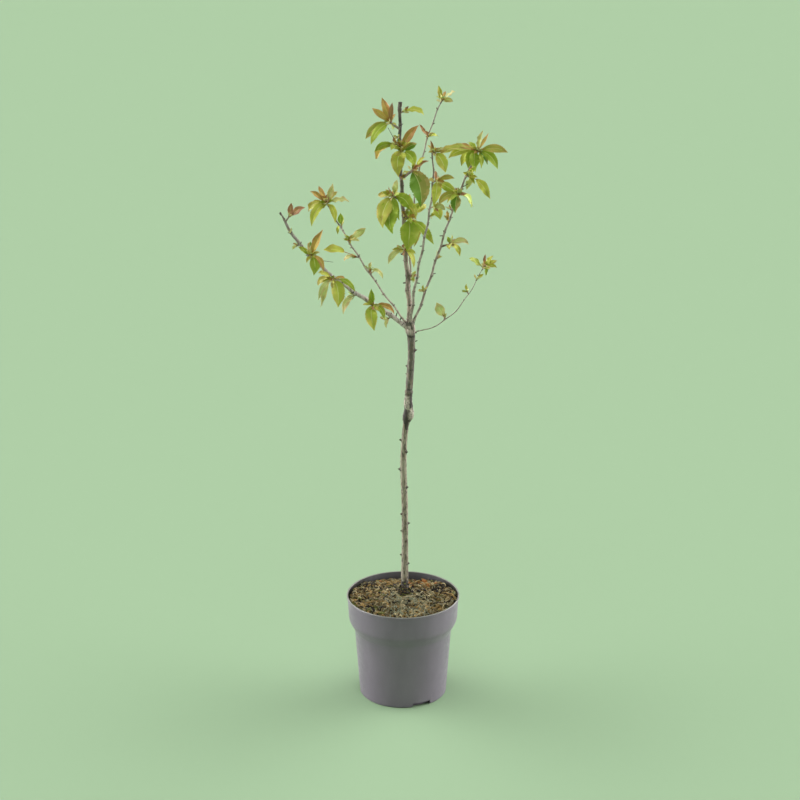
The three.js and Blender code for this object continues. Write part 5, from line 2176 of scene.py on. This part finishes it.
class Scrap(Enum):
    """What the top of the mix is made of, with the colour of each."""

    OCHRE = "#98804a"
    BROWN = "#6a5c38"
    DARK = "#29251b"
    RUST = "#a46e3a"
    STRAW = "#aca174"
    PALE = "#8d8865"
    OLIVE = "#6c7036"
    SAGE = "#82876a"

    @property
    def slot(self) -> int:
        """The scrap's material slot."""
        return list(Scrap).index(self)


def listed_scraps(names: str) -> tuple[Scrap, ...]:
    """The scraps that some words name, in their order."""
    return tuple(Scrap[name] for name in names.split())


@dataclass(frozen=True)
class Patch:
    """A patch of the mix: where its middle is, its radius, and what there is more of in it."""

    right: float
    back: float
    radius: float
    names: str


@dataclass
class PottingMix:
    """The mix that fills the pot: damp peat under bark chips, crumbs, dry straw and some moss at the rim."""

    edge_height: float = 169
    heap_height: float = 184
    level_radius: float = 14
    fall: float = 1.2
    bank: float = 11.0  # how much higher the mix lies against the wall at the left and the right
    clump_mm: float = 6.5
    edge_radius: float = 94.0
    wall_radius: float = 95.4
    # The peat's rings against the pot: a radius and a height for each
    plug: tuple[Pair, ...] = ((64, 3), (74, 8.5), (81, 118), (91.6, 140), (92.2, 160))
    sectors: int = 110
    rings: int = 44
    chips: int = 3100
    crumbs: int = 2200
    straws: int = 1250
    straw_steps: int = 5
    mosses: int = 1500
    collar_scraps: int = 560
    collar_height: float = 27
    common: str = "DARK OLIVE BROWN DARK PALE BROWN OCHRE STRAW OCHRE"
    front_straws: str = "SAGE SAGE PALE STRAW"
    other_straws: str = "STRAW PALE OCHRE BROWN DARK"
    collar: str = "DARK DARK BROWN OLIVE DARK"
    patches: tuple[Patch, ...] = (
        Patch(31, 62, 26, "RUST BROWN RUST RUST RUST OCHRE"),
        Patch(-24, 68, 20, "BROWN RUST OCHRE OCHRE OCHRE STRAW"),
        Patch(-74, 48, 21, "DARK DARK DARK OLIVE"),
        Patch(-20, 30, 20, "DARK DARK DARK BROWN PALE"),
        Patch(72, 34, 28, "DARK DARK DARK BROWN"),
        Patch(-62, 14, 21, "BROWN OCHRE OCHRE STRAW"),
        Patch(10, -24, 32, "DARK SAGE PALE SAGE PALE"),
        Patch(62, -18, 30, "DARK BROWN OLIVE BROWN PALE"),
        Patch(-44, -48, 24, "DARK BROWN OLIVE"),
    )

    def level(self, right: float, back: float) -> float:
        """The height of the mix: a low heap round the stem, banked up at the sides, with soft lumps.

        Args:
            right: how far to the right the place is.
            back: how far back it is.

        Returns:
            The height.
        """
        radius = math.hypot(right, back)
        share = max(0.0, radius - self.level_radius) / (self.edge_radius - self.level_radius)
        heap = between(self.heap_height, self.edge_height, min(1.0, share) ** self.fall)
        bank = self.bank * smooth_step((radius - 58) / 30) * abs(right / max(radius, 1.0)) ** 1.5
        lumps = noise.noise(Vector((right / 17, back / 17, 3.1))) * 4.0
        crumbs = noise.noise(Vector((right / 6, back / 6, 8.7))) * 3.2
        calm = smooth_step((self.edge_radius - radius) / 6) * smooth_step((radius - 6) / 8)
        return heap + bank + (lumps + crumbs) * calm

    def on_top(self, right: float, back: float, rise: float = 0.0) -> Point:
        """The point a rise above the mix at a place."""
        return point(right, back, self.level(right, back) + rise)

    def bed(self) -> Piece:
        """The peat that the scraps lie on: a plug from the floor of the pot to the heap.

        Returns:
            The piece.
        """
        turns = [sector * math.tau / self.sectors for sector in range(self.sectors)]
        points = [point(*around(radius, turn), height) for radius, height in self.plug for turn in turns]
        for ring in range(self.rings):
            radius = self.edge_radius - 0.4 - (self.edge_radius - 2) * ring / (self.rings - 1)
            points += [self.on_top(*around(radius, turn)) for turn in turns]
        last = len(points) - self.sectors
        faces: Faces = []
        for ring in range(0, last, self.sectors):
            for sector in range(self.sectors):
                a, b = ring + sector, ring + (sector + 1) % self.sectors
                faces.append((a, b, b + self.sectors, a + self.sectors))
        faces.append(tuple(reversed(range(self.sectors))))
        faces.append(tuple(range(last, len(points))))
        gathering = Gathering()
        gathering.add(np.array(points), faces)
        return gathering.piece("peat_bed", [DampPeat().material()], 70)

    @staticmethod
    def scrap_form(knock: float, seed: int, chamfer: float = 0.0) -> Form:
        """A scrap, one unit across, with every corner knocked off its place.

        Args:
            knock: how far a corner may move.
            seed: which random numbers it gets.
            chamfer: how wide the chamfers of a block of bark are. Without any, it is a ball of peat.

        Returns:
            Its form.
        """

        def model() -> Piece:
            """Models the scrap.

            Returns:
                The scrap.
            """
            if chamfer:
                bpy.ops.mesh.primitive_cube_add(size=1, location=(0, 0, 0))
            else:
                bpy.ops.mesh.primitive_ico_sphere_add(subdivisions=1, radius=0.5, location=(0, 0, 0))
            scrap = bpy.context.object
            bpy.ops.object.mode_set(mode="EDIT")
            bpy.ops.mesh.select_all(action="SELECT")
            if chamfer:
                bpy.ops.mesh.bevel(offset=chamfer, offset_pct=0, segments=1, affect="EDGES")
            bpy.ops.transform.vertex_random(offset=knock, uniform=0.0, normal=0.0, seed=seed)
            bpy.ops.object.mode_set(mode="OBJECT")
            return scrap

        return Form.modelled(model)

    def scrap_at(self, right: float, back: float, dice: Dice) -> Scrap:
        """Which scrap lies at a place: one of its patch, or else of the common ones, in small clumps.

        Args:
            right: how far to the right the place is.
            back: how far back it is.
            dice: what blurs the edges of the patches and the clumps.

        Returns:
            The scrap.
        """
        names = self.common
        for patch in self.patches:
            reach = math.hypot(right - patch.right, back - patch.back) / patch.radius
            if dice.roll() < 0.85 * (1 - smooth_step((reach - 0.45) / 0.6)):
                names = patch.names
                break
        scraps = listed_scraps(names)
        clump = noise.noise(Vector((right / self.clump_mm, back / self.clump_mm, 1.7)))
        share = 0.5 + 1.1 * clump + dice.pick(-0.24, 0.24)
        return scraps[min(len(scraps) - 1, max(0, int(share * len(scraps))))]

    @staticmethod
    def spot(dice: Dice, inner: float = 7.5, outer: float = 93.2) -> Pair:
        """A random place on the mix, spread evenly between two radii."""
        radius = math.sqrt(dice.pick(inner**2, outer**2))
        return around(radius, dice.pick(0, math.tau))

    @staticmethod
    def tilted(dice: Dice, most: float) -> Matrix:
        """A random tilt, of at most an angle about each of the two level axes."""
        about_x = Matrix.Rotation(dice.pick(-most, most), 4, "X")
        return about_x @ Matrix.Rotation(dice.pick(-most, most), 4, "Y")

    def scatter(
        self,
        gathering: Gathering,
        forms: Sequence[Form],
        count: int,
        sizes: Sequence[float],
        flat: float,
        slender: Sequence[float],
    ) -> None:
        """Scatters scraps over the mix.

        Args:
            gathering: where they go.
            forms: the shapes to choose from.
            count: how many there are.
            sizes: the shortest and the longest length.
            flat: how thick a scrap is, as a share of its length.
            slender: the least and the most that one is broad, as shares of its length.
        """
        dice = Dice(count)
        for _ in range(count):
            right, back = self.spot(dice)
            form = dice.one_of(forms)
            length = between(*sizes, dice.roll() ** 1.8)
            length = min(length, 2.2 * (self.wall_radius - math.hypot(right, back)))
            size = (length, length * dice.pick(*slender), length * flat * dice.pick(0.6, 1.4))
            tilt = self.tilted(dice, 0.6)
            turn = Matrix.Rotation(dice.pick(0, math.tau), 4, "Z") @ tilt
            place = self.on_top(right, back, size[2] * 0.3 + dice.pick(-0.3, 0.9))
            gathering.copy(form, place, turn, size, self.scrap_at(right, back, dice).slot)

    def scatter_straw(self, gathering: Gathering) -> None:
        """Scatters curled bits of dry straw and root over the mix, most of them at the front.

        Args:
            gathering: where they go.
        """
        dice = Dice(71)
        for index in range(self.straws):
            right, back = self.spot(dice)
            front = index % 3 == 0
            if front and math.hypot(right - 8, back + 30) > 40:
                right, back = 8 + dice.pick(-38, 38), -30 + dice.pick(-40, 40)
            length, bend = dice.pick(7, 19), dice.pick(-2.2, 2.2)
            heading, height = dice.pick(0, math.tau), dice.pick(1.2, 4.2)
            course = []
            for step in range(self.straw_steps + 1):
                arched = height * math.sin(math.pi * (0.1 + step * 0.16))
                course.append(self.on_top(right, back, arched + 0.3))
                right += math.cos(heading) * length / self.straw_steps
                back += math.sin(heading) * length / self.straw_steps
                heading += bend / self.straw_steps
                if math.hypot(right, back) > self.edge_radius - 2.5:
                    break
            if len(course) > 2:
                kind = dice.one_of(listed_scraps(self.front_straws if front else self.other_straws))
                add_twig(gathering, course, [dice.pick(0.6, 1.3)] * len(course), 5, kind.slot)

    def scatter_moss(self, gathering: Gathering, form: Form) -> None:
        """Scatters tufts of moss along the front rim, with a few further in.

        Args:
            gathering: where they go.
            form: a tuft.
        """
        dice = Dice(93)
        for index in range(self.mosses):
            turn = math.radians(dice.pick(205, 345) if index % 4 else dice.pick(0, 360))
            right, back = around(self.edge_radius - 3 - 15 * dice.roll() ** 2, turn)
            if noise.noise(Vector((right / 11, back / 11, 5.5))) < -0.02:
                continue
            size = dice.pick(1.0, 2.6)
            lean = self.tilted(dice, 0.7)
            place = self.on_top(right, back, size * 0.5)
            kind = Scrap.OLIVE if dice.roll() < 0.7 else Scrap.SAGE
            gathering.copy(form, place, lean, (size * 0.6, size * 0.6, size * 1.3), kind.slot)

    def scatter_collar(self, gathering: Gathering, form: Form) -> None:
        """Heaps dark crumbs and moss against the stem's foot.

        Args:
            gathering: where they go.
            form: a crumb.
        """
        dice = Dice(57)
        for _ in range(self.collar_scraps):
            turn, share = dice.pick(0, math.tau), dice.roll() ** 0.7
            right, back = around(between(6.4, 13.0, share), turn)
            right += 2.6
            rise = self.collar_height * (1 - share) ** 1.2 * dice.roll()
            size = dice.pick(1.8, 4.0)
            kind = dice.one_of(listed_scraps(self.collar))
            lean = Matrix.Rotation(dice.pick(0, math.tau), 4, "Z")
            gathering.copy(form, self.on_top(right, back, rise), lean, (size, size * 0.8, size), kind.slot)

    def build(self) -> list[Piece]:
        """Fills the pot.

        Returns:
            The pieces.
        """
        scraps = [MattPlant(scrap.value).material(f"scrap_{scrap.name.lower()}") for scrap in Scrap]
        bed = self.bed()
        chips, crumbs, fibres = Gathering(), Gathering(), Gathering()
        flakes = [self.scrap_form(0.13, seed, chamfer=0.16) for seed in (1, 2, 3, 4)]
        balls = [self.scrap_form(0.12, seed) for seed in (5, 6)]
        self.scatter(chips, flakes, self.chips, (3.0, 12.0), 0.24, (0.2, 0.5))
        self.scatter(crumbs, balls, self.crumbs, (1.0, 3.6), 0.8, (0.5, 0.9))
        self.scatter_moss(crumbs, balls[0])
        self.scatter_collar(crumbs, balls[1])
        self.scatter_straw(fibres)
        pieces = [
            bed,
            chips.piece("bark_chips", scraps, 30),
            crumbs.piece("peat_crumbs", scraps, 60),
            fibres.piece("dry_straw", scraps, 60),
        ]
        for piece in pieces:
            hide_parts("soil")
        return pieces


# The studio


@dataclass
class Studio:
    """A pale green paper sweep in a light tent: brighter beside and behind the tree than in front of it."""

    paper_size: float = 60.0
    paper_colour: str = "#a0bf98"
    tent_front: float = 0.2
    tent_sides: float = 12.5
    tent_tint: str = "#fffaff"
    tent_lean: Triple = (0, 0.4, -0.6)  # it is brighter behind, and darker overhead
    overhead_strength: float = 0.95
    overhead_tilt_deg: Pair = (22, -5)
    overhead_spread_deg: float = 50
    eye: Triple = (-0.00533, -4.5, 2.263)
    look_down_deg: float = 69.18
    lens: float = 126.2

    def paper(self) -> Piece:
        """The paper that the pot stands on, which fills the whole picture.

        Returns:
            The piece.
        """
        deselect()
        bpy.ops.mesh.primitive_plane_add(size=self.paper_size, location=(0, 0, 0))
        paper = bpy.context.object
        paper.name = "paper_floor"
        nodes = Nodes(bpy.data.materials.new("matt_paper"))
        look = {"Base Color": linear(self.paper_colour), "Roughness": 1.0, "Specular IOR Level": 0.0}
        paper.data.materials.append(nodes.finished(look))
        return paper

    def tent(self) -> None:
        """The light from all round, which is the same for every place on the paper."""
        world = bpy.data.worlds.new("light_tent")
        bpy.context.scene.world = world
        nodes = Nodes(world)
        way = nodes.add("TexCoord", out="Generated")
        aside = nodes.add("VectorMath", {0: way}, operation="ABSOLUTE")
        wide = nodes.add("SeparateXYZ", {0: aside}, out="X")
        lean = nodes.add("VectorMath", {0: way, 1: self.tent_lean}, out="Value", operation="DOT_PRODUCT")
        both = nodes.add("Math", {0: wide, 1: lean}, operation="ADD")
        ends = {"From Min": 0.45, "From Max": 1.0, "To Min": self.tent_front, "To Max": self.tent_sides}
        strength = nodes.add("MapRange", {"Value": both, **ends}, interpolation_type="SMOOTHSTEP")
        light = nodes.add("Background", {"Color": linear(self.tent_tint), "Strength": strength})
        nodes.add("OutputWorld", {"Surface": light})

    def overhead(self) -> None:
        """A wide soft light from above, a little to the front and the left."""
        deselect()
        tilt, lean = (math.radians(angle) for angle in self.overhead_tilt_deg)
        bpy.ops.object.light_add(type="SUN", location=(0, 0, 3), rotation=(tilt, lean, 0))
        lamp = bpy.context.object
        lamp.name = "overhead_softbox"
        lamp.data.energy = self.overhead_strength
        lamp.data.angle = math.radians(self.overhead_spread_deg)

    def camera(self) -> None:
        """The camera, where the photograph's stood."""
        deselect()
        turn = (math.radians(self.look_down_deg), 0, 0)
        bpy.ops.object.camera_add(location=self.eye, rotation=turn)
        camera = bpy.context.object
        camera.name = "front_camera"
        camera.data.lens = self.lens
        camera.data.sensor_width = 36
        bpy.context.scene.camera = camera

    def build(self) -> None:
        """Sets up the paper, the light and the camera."""
        self.paper()
        bpy.context.scene.view_settings.view_transform = "Standard"
        self.tent()
        self.overhead()
        self.camera()


def main() -> None:
    """Builds every part of the finish."""
    logging.basicConfig(level=logging.INFO, format="%(message)s")
    wood = Wood()
    for part in (NurseryPot(), PottingMix(), wood, Foliage(wood)):
        for piece in part.build():
            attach(piece, BODY)
            log.info("%s: %d faces", piece.name, len(piece.data.polygons))
    Studio().build()


if __name__ == "__main__":
    main()
